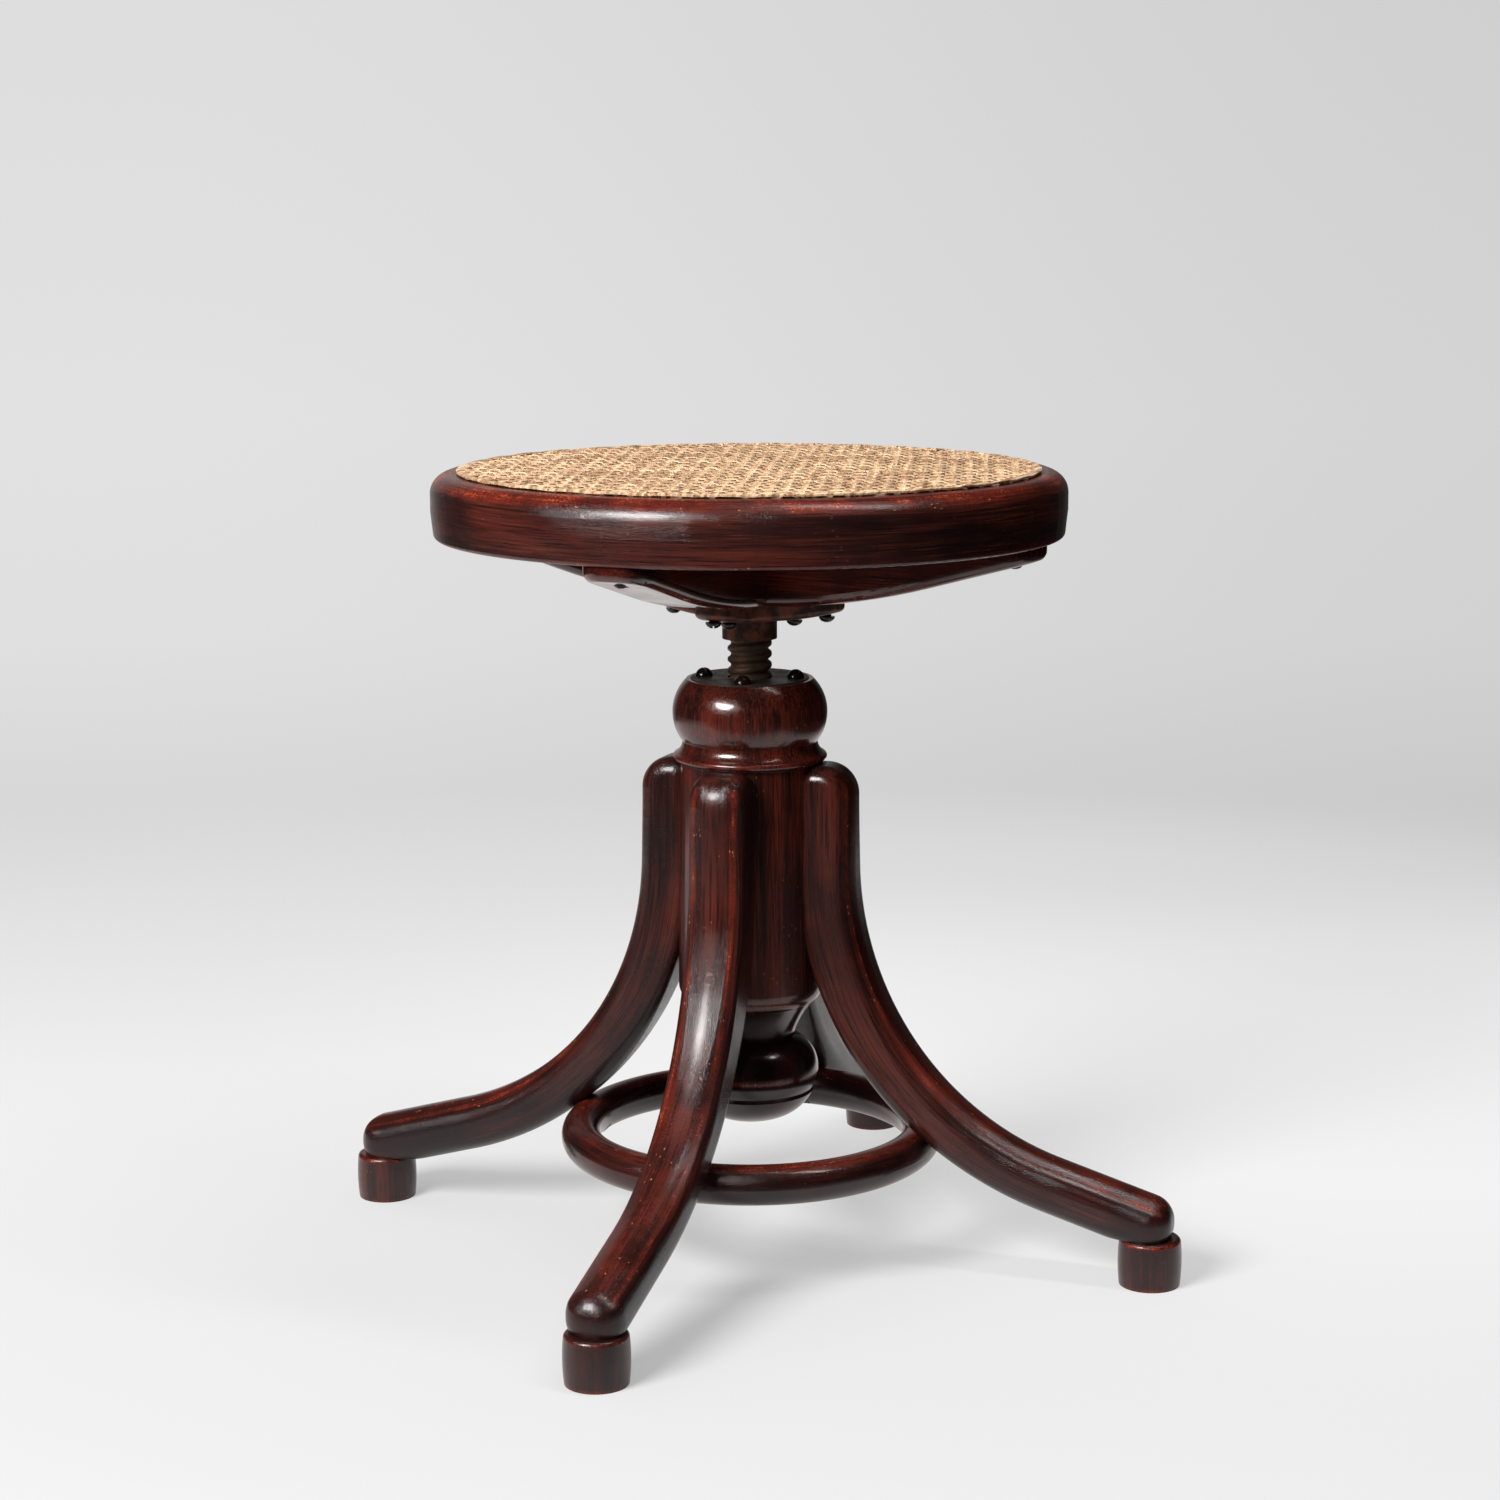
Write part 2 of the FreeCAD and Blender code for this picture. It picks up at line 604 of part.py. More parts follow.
def bar_blank():
    """A bar along X: deep at the middle, swept up to thin ends."""
    under = [rz(s * x, bar_underside_z(x)) for s in (-1, 1) for x in (BAR_REACH, BAR_CURVE_REACH)]
    left_end, left_curve, right_end, right_curve = under
    top_left = rz(-BAR_REACH, CROSS_TOP_Z)
    top_right = rz(BAR_REACH, CROSS_TOP_Z)
    edges = [
        line(top_right, top_left),
        line(top_left, left_end),
        line(left_end, left_curve),
        arc(left_curve, rz(0, CROSS_BOTTOM_Z), right_curve),
        line(right_curve, right_end),
        line(right_end, top_right),
    ]
    face = Part.Face(Part.Wire(edges))
    face.translate(V(0, -BAR_WIDTH / 2, 0))
    bar = face.extrude(V(0, BAR_WIDTH, 0))

    def upright(e):
        middle = e.CenterOfMass
        return abs(abs(middle.x) - BAR_REACH) + abs(abs(middle.y) - BAR_WIDTH / 2) < SAME

    def around_underside(e):
        box = e.BoundBox
        at_side = abs(e.CenterOfMass.y) > SAME or abs(e.CenterOfMass.x) > BAR_REACH - SAME
        return at_side and box.ZMax < CROSS_TOP_Z - SAME and box.XLength + box.YLength > SAME

    bar = round_edges(bar, BAR_END_ROUND, upright)
    return round_edges(bar, min(BAR_ROUND, BAR_END_DEPTH - CORNER_MARGIN), around_underside)


def bar_screw_seat_z():
    """The heads are let into the sloped underside just deep enough to seat flat."""
    return bar_underside_z(BAR_SCREW_AT + BAR_SCREW_HEAD_R + GLUE_GAP)


def flange_screw_holes():
    """Clearance holes for the flange screws of one lobe, along +X."""
    holes = []
    for radius in FLANGE_SCREW_RADII:
        top = bar_underside_z(radius) + FLANGE_SCREW_IN_WOOD + GLUE_GAP
        holes.append(cylinder(FLANGE_SCREW_R + GLUE_GAP, SOCKET_BOTTOM_Z, top, radius))
    return holes


def cross_bar(lower):
    bar = bar_blank()
    lap_z = (CROSS_BOTTOM_Z + CROSS_TOP_Z) / 2
    half = BAR_WIDTH / 2 + GLUE_GAP
    notch_z = lap_z if lower else lap_z - BAR_DEPTH
    bar = bar.cut(Part.makeBox(2 * half, 2 * BAR_WIDTH, BAR_DEPTH, V(-half, -BAR_WIDTH, notch_z)))
    bar = bar.cut(cylinder(SPINDLE_TENON_R + GLUE_GAP, 0, CROSS_BOTTOM_Z + SPINDLE_TENON_IN_CROSS + GLUE_GAP))
    for x in (-BAR_SCREW_AT, BAR_SCREW_AT):
        bar = bar.cut(cylinder(BAR_SCREW_HEAD_R + GLUE_GAP, CROSS_BOTTOM_Z, bar_screw_seat_z(), x))
        bar = bar.cut(cylinder(BAR_SCREW_R + GLUE_GAP, CROSS_BOTTOM_Z, CROSS_TOP_Z + PAST, x))
    for hole in flange_screw_holes():
        bar = bar.cut(hole)
        bar = bar.cut(spun(hole, 180))
    return spun(bar, CROSS_ANGLE if lower else CROSS_ANGLE + 90)


def bar_screws():
    seat_z = bar_screw_seat_z()
    length = CROSS_TOP_Z + BAR_SCREW_IN_RIM - seat_z
    one = screw(BAR_SCREW_R, BAR_SCREW_HEAD_R, BAR_SCREW_HEAD_HEIGHT, length)
    return around(placed(one, rz(BAR_SCREW_AT, seat_z)), 4, CROSS_ANGLE)


# Flange

def flange_underside_radius():
    """Radius of the arc along a lobe's underside, from the hub to the thin tip."""
    rise = bar_underside_z(FLANGE_REACH) - FLANGE_TIP_THICKNESS - FLANGE_BOTTOM_Z
    return (FLANGE_REACH ** 2 + rise ** 2) / (2 * rise)


def flange_under_z(along):
    radius = flange_underside_radius()
    return FLANGE_BOTTOM_Z + radius - math.sqrt(radius ** 2 - along ** 2)


def lobe_pair():
    """Two opposite lobes along X, with round ends."""
    half = FLANGE_LOBE_WIDTH / 2
    flat = FLANGE_REACH - half
    plan = Part.Wire([
        line(V(-flat, -half, 0), V(flat, -half, 0)),
        arc(V(flat, -half, 0), V(FLANGE_REACH, 0, 0), V(flat, half, 0)),
        line(V(flat, half, 0), V(-flat, half, 0)),
        arc(V(-flat, half, 0), V(-FLANGE_REACH, 0, 0), V(-flat, -half, 0)),
    ])
    slab = Part.Face(plan).extrude(V(0, 0, 3 * FLANGE_THICKNESS))
    slab.translate(V(0, 0, FLANGE_BOTTOM_Z - PAST))
    return slab


def flange_bowl():
    """Everything above the flange's dished underside, which thins towards the tips."""
    past = FLANGE_REACH + PAST
    top_z = FLANGE_BOTTOM_Z + 2 * FLANGE_THICKNESS
    return turned([
        arc(rz(0, FLANGE_BOTTOM_Z), rz(past / 2, flange_under_z(past / 2)), rz(past, flange_under_z(past))),
        line(rz(past, flange_under_z(past)), rz(past, top_z)),
        line(rz(past, top_z), rz(0, top_z)),
        line(rz(0, top_z), rz(0, FLANGE_BOTTOM_Z)),
    ])


def flange():
    half = FLANGE_LOBE_WIDTH / 2
    body = lobe_pair().fuse(spun(lobe_pair(), 90)).removeSplitter()

    def crotch(e):
        return all(abs(abs(v.X) - half) + abs(abs(v.Y) - half) < SAME for v in e.Vertexes)

    def lower_edge(e):
        along = [math.hypot(v.X, v.Y) for v in e.Vertexes]
        return all(abs(v.Z - flange_under_z(a)) < SAME for v, a in zip(e.Vertexes, along))

    body = round_edges(body, FLANGE_CROTCH_ROUND, crotch)
    body = body.common(flange_bowl())
    body = round_edges(body, FLANGE_EDGE_ROUND, lower_edge)
    body = body.cut(bar_blank())
    body = body.cut(spun(bar_blank(), 90))
    body = body.fuse(cylinder(SOCKET_R, SOCKET_BOTTOM_Z, CROSS_BOTTOM_Z))
    body = body.cut(cylinder(SPINDLE_TENON_R + GLUE_GAP, SOCKET_BOTTOM_Z - PAST, CROSS_TOP_Z))
    for hole in flange_screw_holes():
        for cut in around(hole, 4):
            body = body.cut(cut)
    return spun(body.removeSplitter(), CROSS_ANGLE)


def flange_screws():
    screws = []
    for radius in FLANGE_SCREW_RADII:
        seat_z = flange_under_z(radius - FLANGE_SCREW_HEAD_R)
        length = bar_underside_z(radius) + FLANGE_SCREW_IN_WOOD - seat_z
        one = screw(FLANGE_SCREW_R, FLANGE_SCREW_HEAD_R, FLANGE_SCREW_HEAD_HEIGHT, length)
        screws += around(placed(one, V(radius, 0, seat_z)), 4, CROSS_ANGLE)
    return screws


# Seat rim and cane

def seat_rim():
    foot_z = CROSS_TOP_Z
    belly_z = foot_z + RIM_BELLY_HEIGHT
    corners = [rz(RIM_INNER_R, foot_z), rz(RIM_FOOT_R, foot_z), rz(RIM_R, belly_z), rz(RIM_R, RIM_TOP_Z),
               rz(RIM_INNER_R, RIM_TOP_Z)]
    wire = Part.makePolygon(corners + corners[:1])
    rim = Part.Face(wire).revolve(V(0, 0, 0), V(0, 0, 1), 360)

    def at(corner):
        return lambda e: e.Closed and (rz(e.Curve.Radius, e.CenterOfMass.z) - corner).Length < SAME

    rim = round_edges(rim, RIM_TOP_ROUND, at(corners[3]))
    rim = round_edges(rim, RIM_FOOT_ROUND, at(corners[1]))
    rim = round_edges(rim, RIM_INNER_ROUND, at(corners[0]))
    rim = round_edges(rim, RIM_INNER_ROUND, at(corners[4]))
    depth = BAR_SCREW_IN_RIM + GLUE_GAP
    hole = cylinder(BAR_SCREW_R + GLUE_GAP, foot_z - PAST, foot_z + depth, BAR_SCREW_AT)
    for cut in around(hole, 4, CROSS_ANGLE):
        rim = rim.cut(cut)
    return rim


def cane_panel():
    """The woven net: an open octagon between each two pairs of strands."""
    half = CANE_HOLE / 2
    bevel = CANE_HOLE_CORNER
    outline = [(half, half - bevel), (half - bevel, half), (bevel - half, half), (-half, half - bevel),
               (-half, bevel - half), (bevel - half, -half), (half - bevel, -half), (half, bevel - half)]
    limit = RIM_INNER_R - CANE_BORDER - half
    count = int(limit / CANE_MESH)
    holes = []
    for i in range(-count, count + 1):
        for j in range(-count, count + 1):
            x = i * CANE_MESH
            y = j * CANE_MESH
            if math.hypot(x, y) <= limit:
                corners = [V(x + a, y + b, RIM_TOP_Z) for a, b in outline]
                holes.append(Part.makePolygon(corners + corners[:1]))
    disc = Part.makeCircle(CANE_R, V(0, 0, RIM_TOP_Z))
    face = Part.Face([Part.Wire(disc)] + holes)
    face.validate()
    net = spun(face.extrude(V(0, 0, CANE_THICKNESS)), CANE_ANGLE)
    print("cane gaps", len(holes))
    return net


def cane_binding():
    half = BINDING_WIDTH / 2
    flat = half - BINDING_BEVEL
    top_z = CANE_TOP_Z + BINDING_HEIGHT
    corners = [rz(BINDING_R - half, CANE_TOP_Z), rz(BINDING_R + half, CANE_TOP_Z),
               rz(BINDING_R + flat, top_z), rz(BINDING_R - flat, top_z)]
    return turned(Part.makePolygon(corners + corners[:1]).Edges)


# Foot ring

def foot_ring():
    shank, mouth = ring_screw_hole()
    ring = ring_torus()
    for cut in around(shank, 4) + around(mouth, 4):
        ring = ring.cut(cut)
    return ring


def ring_screws():
    seat, way = ring_screw_line()
    one = screw(RING_SCREW_R, RING_SCREW_HEAD_R, RING_SCREW_HEAD_HEIGHT, ring_screw_length())
    return around(placed(one, seat, way), 4)


def build():
    leg_solid = leg()
    nodes = {
        "column": column(leg_solid),
        "column_finial": finial(),
        "nut_plate": nut_plate(),
        "nut_plate_screws": nut_plate_screws(),
        "leg_dowels": [spun(leg_dowel(z), a) for a in LEG_ANGLES.values() for z in LEG_DOWEL_HEIGHTS],
        "foot_ring": foot_ring(),
        "ring_screws": ring_screws(),
        "foot_dowels": around(foot_dowel(), 4),
        "stop_collar": stop_collar(),
        "spindle": spindle(),
        "spindle_nut": spindle_nut(),
        "spindle_flange": flange(),
        "flange_screws": flange_screws(),
        "cross_bar_lower": cross_bar(True),
        "cross_bar_upper": cross_bar(False),
        "cross_bar_screws": bar_screws(),
        "seat_rim": seat_rim(),
        "cane_panel": cane_panel(),
        "cane_binding": cane_binding(),
    }
    for name, degrees in LEG_ANGLES.items():
        nodes[name] = spun(leg_solid, degrees)
        nodes[name.replace("leg", "foot")] = spun(foot(), degrees)
    return nodes


def main():
    os.makedirs("parts", exist_ok=True)
    print("ring centreline radius", round(RING_R, 2))
    for name, made in build().items():
        pieces = made if isinstance(made, list) else [made]
        shape = Part.makeCompound(pieces) if len(pieces) > 1 else pieces[0]
        if not shape.isValid():
            raise ValueError(name + " is not a valid shape")
        shape.exportStep("parts/" + name + ".step")
        print(name, len(shape.Solids), "solids", round(shape.Volume), "mm3")


main()
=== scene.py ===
# %% [markdown]
# # A revolving piano stool
# The stool is bent and turned beech under a dark red stain and shellac, with
# an iron screw under a round caned seat. Its shapes come from the packed
# model, already in metres and in place, with Z up and the front leg along -Y.
# Here each piece gets its finish, and the cane, the thread and the screws,
# which are too fine for the model's solids, are made in full.

import math
from contextlib import contextmanager

import bmesh
import bpy
from mathutils import Matrix, Vector


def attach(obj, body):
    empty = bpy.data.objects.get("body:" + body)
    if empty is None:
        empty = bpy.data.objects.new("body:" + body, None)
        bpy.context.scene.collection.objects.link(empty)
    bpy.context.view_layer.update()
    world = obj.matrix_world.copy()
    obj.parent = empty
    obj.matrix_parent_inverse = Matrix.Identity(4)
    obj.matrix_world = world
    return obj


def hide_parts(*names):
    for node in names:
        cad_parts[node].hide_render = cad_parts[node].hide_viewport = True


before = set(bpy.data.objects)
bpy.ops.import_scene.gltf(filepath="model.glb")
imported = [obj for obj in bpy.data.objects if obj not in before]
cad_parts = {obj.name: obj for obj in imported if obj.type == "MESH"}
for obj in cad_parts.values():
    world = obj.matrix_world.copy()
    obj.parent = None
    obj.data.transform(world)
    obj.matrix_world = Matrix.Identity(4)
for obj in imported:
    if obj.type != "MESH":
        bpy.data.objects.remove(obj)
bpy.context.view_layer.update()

# %% [markdown]
# ## Camera
# The picture looks down on the stool by about ten degrees from one side of
# the front leg. A long lens keeps the upright column nearly parallel to the
# picture's edge, as a product photographer would want it.

# %% Camera
CAMERA_AT = Vector((0.5839, -1.6268, 0.6075))
CAMERA_TURN = math.radians(19.745)
CAMERA_TILT = math.radians(79.68)
CAMERA_ROLL = math.radians(-0.2)
CAMERA_LENS = 73.3

camera = bpy.data.objects.new("Camera", bpy.data.cameras.new("Camera"))
bpy.context.scene.collection.objects.link(camera)
camera.data.lens = CAMERA_LENS
camera.matrix_world = (
    Matrix.Translation(CAMERA_AT)
    @ Matrix.Rotation(CAMERA_TURN, 4, "Z")
    @ Matrix.Rotation(CAMERA_TILT, 4, "X")
    @ Matrix.Rotation(CAMERA_ROLL, 4, "Z")
)
bpy.context.scene.camera = camera
bpy.context.scene.view_settings.view_transform = "Standard"
print("camera", camera.data.lens, "mm lens")

# %% [markdown]
# ## Tools for building shaders
# A shader is a chain of nodes. One short function adds a node and sets or
# joins its inputs, so that each chain below reads from top to bottom. Colours
# are written as they look on a screen and turned into linear light here.

# %% Adding and joining nodes
def linear(red, green, blue):
    """A screen colour of 0 to 255 as the linear colour that shaders use."""
    steps = [value / 255 for value in (red, green, blue)]
    return tuple(v / 12.92 if v < 0.04045 else ((v + 0.055) / 1.055) ** 2.4 for v in steps) + (1.0,)


def feed(tree, sockets, values):
    """Sets each named socket to a value, or joins it to another node's output."""
    for key, value in values.items():
        if isinstance(value, bpy.types.NodeSocket):
            tree.links.new(value, sockets[key])
        else:
            sockets[key].default_value = value


def add(tree, kind, inputs=None, **settings):
    """Adds a node, makes its settings and feeds its inputs."""
    node = tree.nodes.new("ShaderNode" + kind)
    for key, value in settings.items():
        setattr(node, key, value)
    feed(tree, node.inputs, inputs or {})
    return node


def new_group(name, inputs, outputs):
    """A node group with inputs of (name, kind) or (name, kind, value) and outputs of (name, kind)."""
    group = bpy.data.node_groups.new(name, "ShaderNodeTree")
    for title, kind, *value in inputs:
        socket = group.interface.new_socket(title, in_out="INPUT", socket_type="NodeSocket" + kind)
        if value:
            socket.default_value = value[0]
    for title, kind in outputs:
        group.interface.new_socket(title, in_out="OUTPUT", socket_type="NodeSocket" + kind)
    return group, group.nodes.new("NodeGroupInput").outputs, group.nodes.new("NodeGroupOutput").inputs


def use(tree, group, inputs):
    """Places a node group in a tree and feeds its inputs."""
    return add(tree, "Group", inputs, node_tree=group).outputs


def emptied(owner):
    """The node tree of a material or world, with nothing in it."""
    owner.use_nodes = True
    owner.node_tree.nodes.clear()
    return owner.node_tree


def new_material(name):
    """A material: its tree, its Principled shader and the place on the object."""
    material = bpy.data.materials.new(name)
    tree = emptied(material)
    shader = add(tree, "BsdfPrincipled")
    add(tree, "OutputMaterial", {"Surface": shader.outputs[0]})
    place = add(tree, "TexCoord").outputs["Object"]
    return material, tree, shader, place


def cover(material, *names):
    """Gives the named pieces this material in every slot."""
    for name in names:
        piece = bpy.data.objects[name]
        if not piece.material_slots:
            piece.data.materials.append(material)
        for part in piece.material_slots:
            part.material = material
    print(material.name, "on", ", ".join(names))


print("node tools ready")

# %% Arithmetic, mixing and noise
def sums(tree, operation, *values):
    """One step of arithmetic on numbers or sockets."""
    return add(tree, "Math", dict(enumerate(values)), operation=operation).outputs[0]


def times(tree, first, *others):
    """The product of several numbers or sockets."""
    for other in others:
        first = sums(tree, "MULTIPLY", first, other)
    return first


def vectors(tree, operation, *values):
    """One step of arithmetic on vectors. A length and a dot product are numbers."""
    outputs = add(tree, "VectorMath", dict(enumerate(values)), operation=operation).outputs
    return outputs["Value" if operation in ("LENGTH", "DOT_PRODUCT") else "Vector"]


def split(tree, vector):
    """The three numbers of a vector, called X, Y and Z."""
    return add(tree, "SeparateXYZ", {0: vector}).outputs


def turned_by(tree, place, turn):
    """A place turned round the Z axis."""
    return add(tree, "Mapping", {"Vector": place, "Rotation": (0.0, 0.0, turn)}).outputs[0]


def ramp(tree, value, low, high, to_low=0.0, to_high=1.0):
    """A smooth step from to_low, where the value is low, to to_high, where it is high."""
    return add(tree, "MapRange", {"Value": value, "From Min": low, "From Max": high,
                                  "To Min": to_low, "To Max": to_high},
               interpolation_type="SMOOTHSTEP").outputs["Result"]


def near(tree, value, centre, reach, strength=1.0):
    """The strength at the centre, falling to nothing at reach on both sides."""
    away = sums(tree, "ABSOLUTE", sums(tree, "SUBTRACT", value, centre))
    return ramp(tree, away, 0.0, reach, strength, 0.0)


def either(tree, *masks):
    """The strongest of several masks."""
    total = masks[0]
    for mask in masks[1:]:
        total = sums(tree, "MAXIMUM", total, mask)
    return total


def choose(tree, test, yes, no):
    """The number yes where the test is one, and the number no where it is nothing."""
    return add(tree, "Mix", {0: test, 2: no, 3: yes}, data_type="FLOAT").outputs[0]


def mixed(tree, factor, a, b):
    """A mix of two colours."""
    return add(tree, "Mix", {0: factor, 6: a, 7: b}, data_type="RGBA").outputs[2]


def noise(tree, place, scale=1.0, detail=2.0, roughness=0.5, across=None):
    """Cloudy noise from nothing to one, with a fourth distance where the grain has one."""
    inputs = {"Vector": place, "Scale": scale, "Detail": detail, "Roughness": roughness}
    if across is None:
        return add(tree, "TexNoise", inputs).outputs["Fac"]
    return add(tree, "TexNoise", inputs | {"W": across}, noise_dimensions="4D").outputs["Fac"]


def press(tree, shader, height, strength, depth):
    """Presses a height into the shader's normals, with its depth in metres."""
    bump = add(tree, "Bump", {"Height": height, "Strength": strength, "Distance": depth})
    feed(tree, shader.inputs, {"Normal": bump.outputs[0]})


print("shader tools ready")

# %% [markdown]
# ## Grain that follows the wood
# A bent stick's grain follows its bend, and a turned column's grain runs up
# it. Noise that is stretched along one axis looks like grain, so each of
# these groups gives the distance along the wood and the two distances across
# it. A ring's along is a circle, which takes two numbers, and so the group
# gives a vector of along, along and across, and one more number across.

# %% Grain along a straight piece
GRAIN_OUTPUTS = [("Grain", "Vector"), ("Across", "Float")]


def straight_grain(name, along):
    """Grain along the object's X, Y or Z."""
    group, given, result = new_group(name, [("Place", "Vector")], GRAIN_OUTPUTS)
    parts = split(group, given["Place"])
    first, second = [axis for axis in "XYZ" if axis != along]
    grain = add(group, "CombineXYZ", {"X": parts[along], "Z": parts[first]}).outputs[0]
    feed(group, result, {"Grain": grain, "Across": parts[second]})
    return group


UPRIGHT_GRAIN = straight_grain("Upright grain", "Z")
BAR_GRAIN = straight_grain("Bar grain", "X")
print("straight grain groups ready")

# %% Grain round a ring
HOOP_R = 0.17


def ring_grain():
    """Grain round the Z axis, as in a hoop that is bent from one stick."""
    group, given, result = new_group("Hoop grain", [("Place", "Vector")], GRAIN_OUTPUTS)
    parts = split(group, given["Place"])
    flat = add(group, "CombineXYZ", {"X": parts["X"], "Y": parts["Y"]}).outputs[0]
    way = vectors(group, "NORMALIZE", flat)
    arm = split(group, add(group, "VectorMath", {0: way, "Scale": HOOP_R}, operation="SCALE").outputs[0])
    grain = add(group, "CombineXYZ", {"X": arm["X"], "Y": arm["Y"], "Z": parts["Z"]}).outputs[0]
    feed(group, result, {"Grain": grain, "Across": vectors(group, "LENGTH", flat)})
    return group


HOOP_GRAIN = ring_grain()
print("hoop grain group ready")

# %% Grain along a bent leg
LEG_BEND_X = 0.2310
LEG_BEND_Z = 0.2280
LEG_BEND_RADIUS = 0.183
LEG_BEND_ANGLE = math.radians(74)


def leg_grain():
    """Grain down a leg that runs along +X: a straight top, one bend and a straight toe."""
    group, given, result = new_group("Leg grain", [("Place", "Vector")],
                                     GRAIN_OUTPUTS + [("Depth", "Float")])
    parts = split(group, given["Place"])
    inward = sums(group, "SUBTRACT", LEG_BEND_X, parts["X"])
    downward = sums(group, "SUBTRACT", LEG_BEND_Z, parts["Z"])
    is_top = sums(group, "LESS_THAN", downward, 0.0)
    top_depth = sums(group, "SUBTRACT", inward, LEG_BEND_RADIUS)
    angle = sums(group, "MAXIMUM", sums(group, "ARCTAN2", downward, inward), 0.0)
    squares = sums(group, "ADD", times(group, inward, inward), times(group, downward, downward))
    bend_along = times(group, angle, LEG_BEND_RADIUS)
    bend_depth = sums(group, "SUBTRACT", sums(group, "SQRT", squares), LEG_BEND_RADIUS)
    cosine, sine = math.cos(LEG_BEND_ANGLE), math.sin(LEG_BEND_ANGLE)
    toe_run = sums(group, "SUBTRACT", times(group, downward, cosine), times(group, inward, sine))
    toe_out = sums(group, "ADD", times(group, inward, cosine), times(group, downward, sine))
    is_toe = sums(group, "GREATER_THAN", toe_run, 0.0)
    toe_along = sums(group, "ADD", toe_run, LEG_BEND_RADIUS * LEG_BEND_ANGLE)
    toe_depth = sums(group, "SUBTRACT", toe_out, LEG_BEND_RADIUS)
    along = choose(group, is_top, downward, choose(group, is_toe, toe_along, bend_along))
    depth = choose(group, is_top, top_depth, choose(group, is_toe, toe_depth, bend_depth))
    grain = add(group, "CombineXYZ", {"X": along, "Z": parts["Y"]}).outputs[0]
    feed(group, result, {"Grain": grain, "Across": depth, "Depth": depth})
    return group


LEG_GRAIN = leg_grain()
print("leg grain group ready")

# %% [markdown]
# ## The stained beech
# The stain sits dark in the pores and thin on the hard bands, so the wood is
# a nearly black red with thin orange-brown streaks. Hands and feet have
# rubbed the edges through to a bright orange red, with small pale flecks
# where the shellac has chipped. The same orange red is also painted light:
# a lit top edge on the rim and a red glow round the belly of the column's
# head. The shellac has a fine crackle that breaks up its highlights. One
# group makes all of this from the grain, from a mask of where the piece is
# rubbed or painted lit, and from a tone for lighter or darker pieces.

# %% Stain colours and grain scales
# Each stain's darkest and lightest tone
DARK_STAIN = linear(17, 11, 11), linear(46, 24, 22)
RED_STAIN = linear(41, 20, 18), linear(98, 40, 30)
LIGHT_STAIN = linear(62, 30, 23), linear(138, 66, 42)
DARK_STREAK = linear(18, 9, 9)
DARK_CLOUD = linear(19, 10, 10)
DARK_PORE = linear(12, 7, 7)
WORN_AND_LIT_RED = linear(102, 34, 21)
WORN_AND_LIT_ORANGE = linear(178, 74, 36)
PALE_FLECK = linear(186, 116, 74)
# Scales of the noise along the grain and across it
BAND_SCALES = 7.0, 90.0
STREAK_SCALES = 24.0, 800.0
HAIR_SCALES = 60.0, 1700.0
FLECK_SCALES = 240.0, 620.0
CRACKLE_SCALE = 900.0
print("red stain from", [round(v, 3) for v in RED_STAIN[0]], "to", [round(v, 3) for v in RED_STAIN[1]])

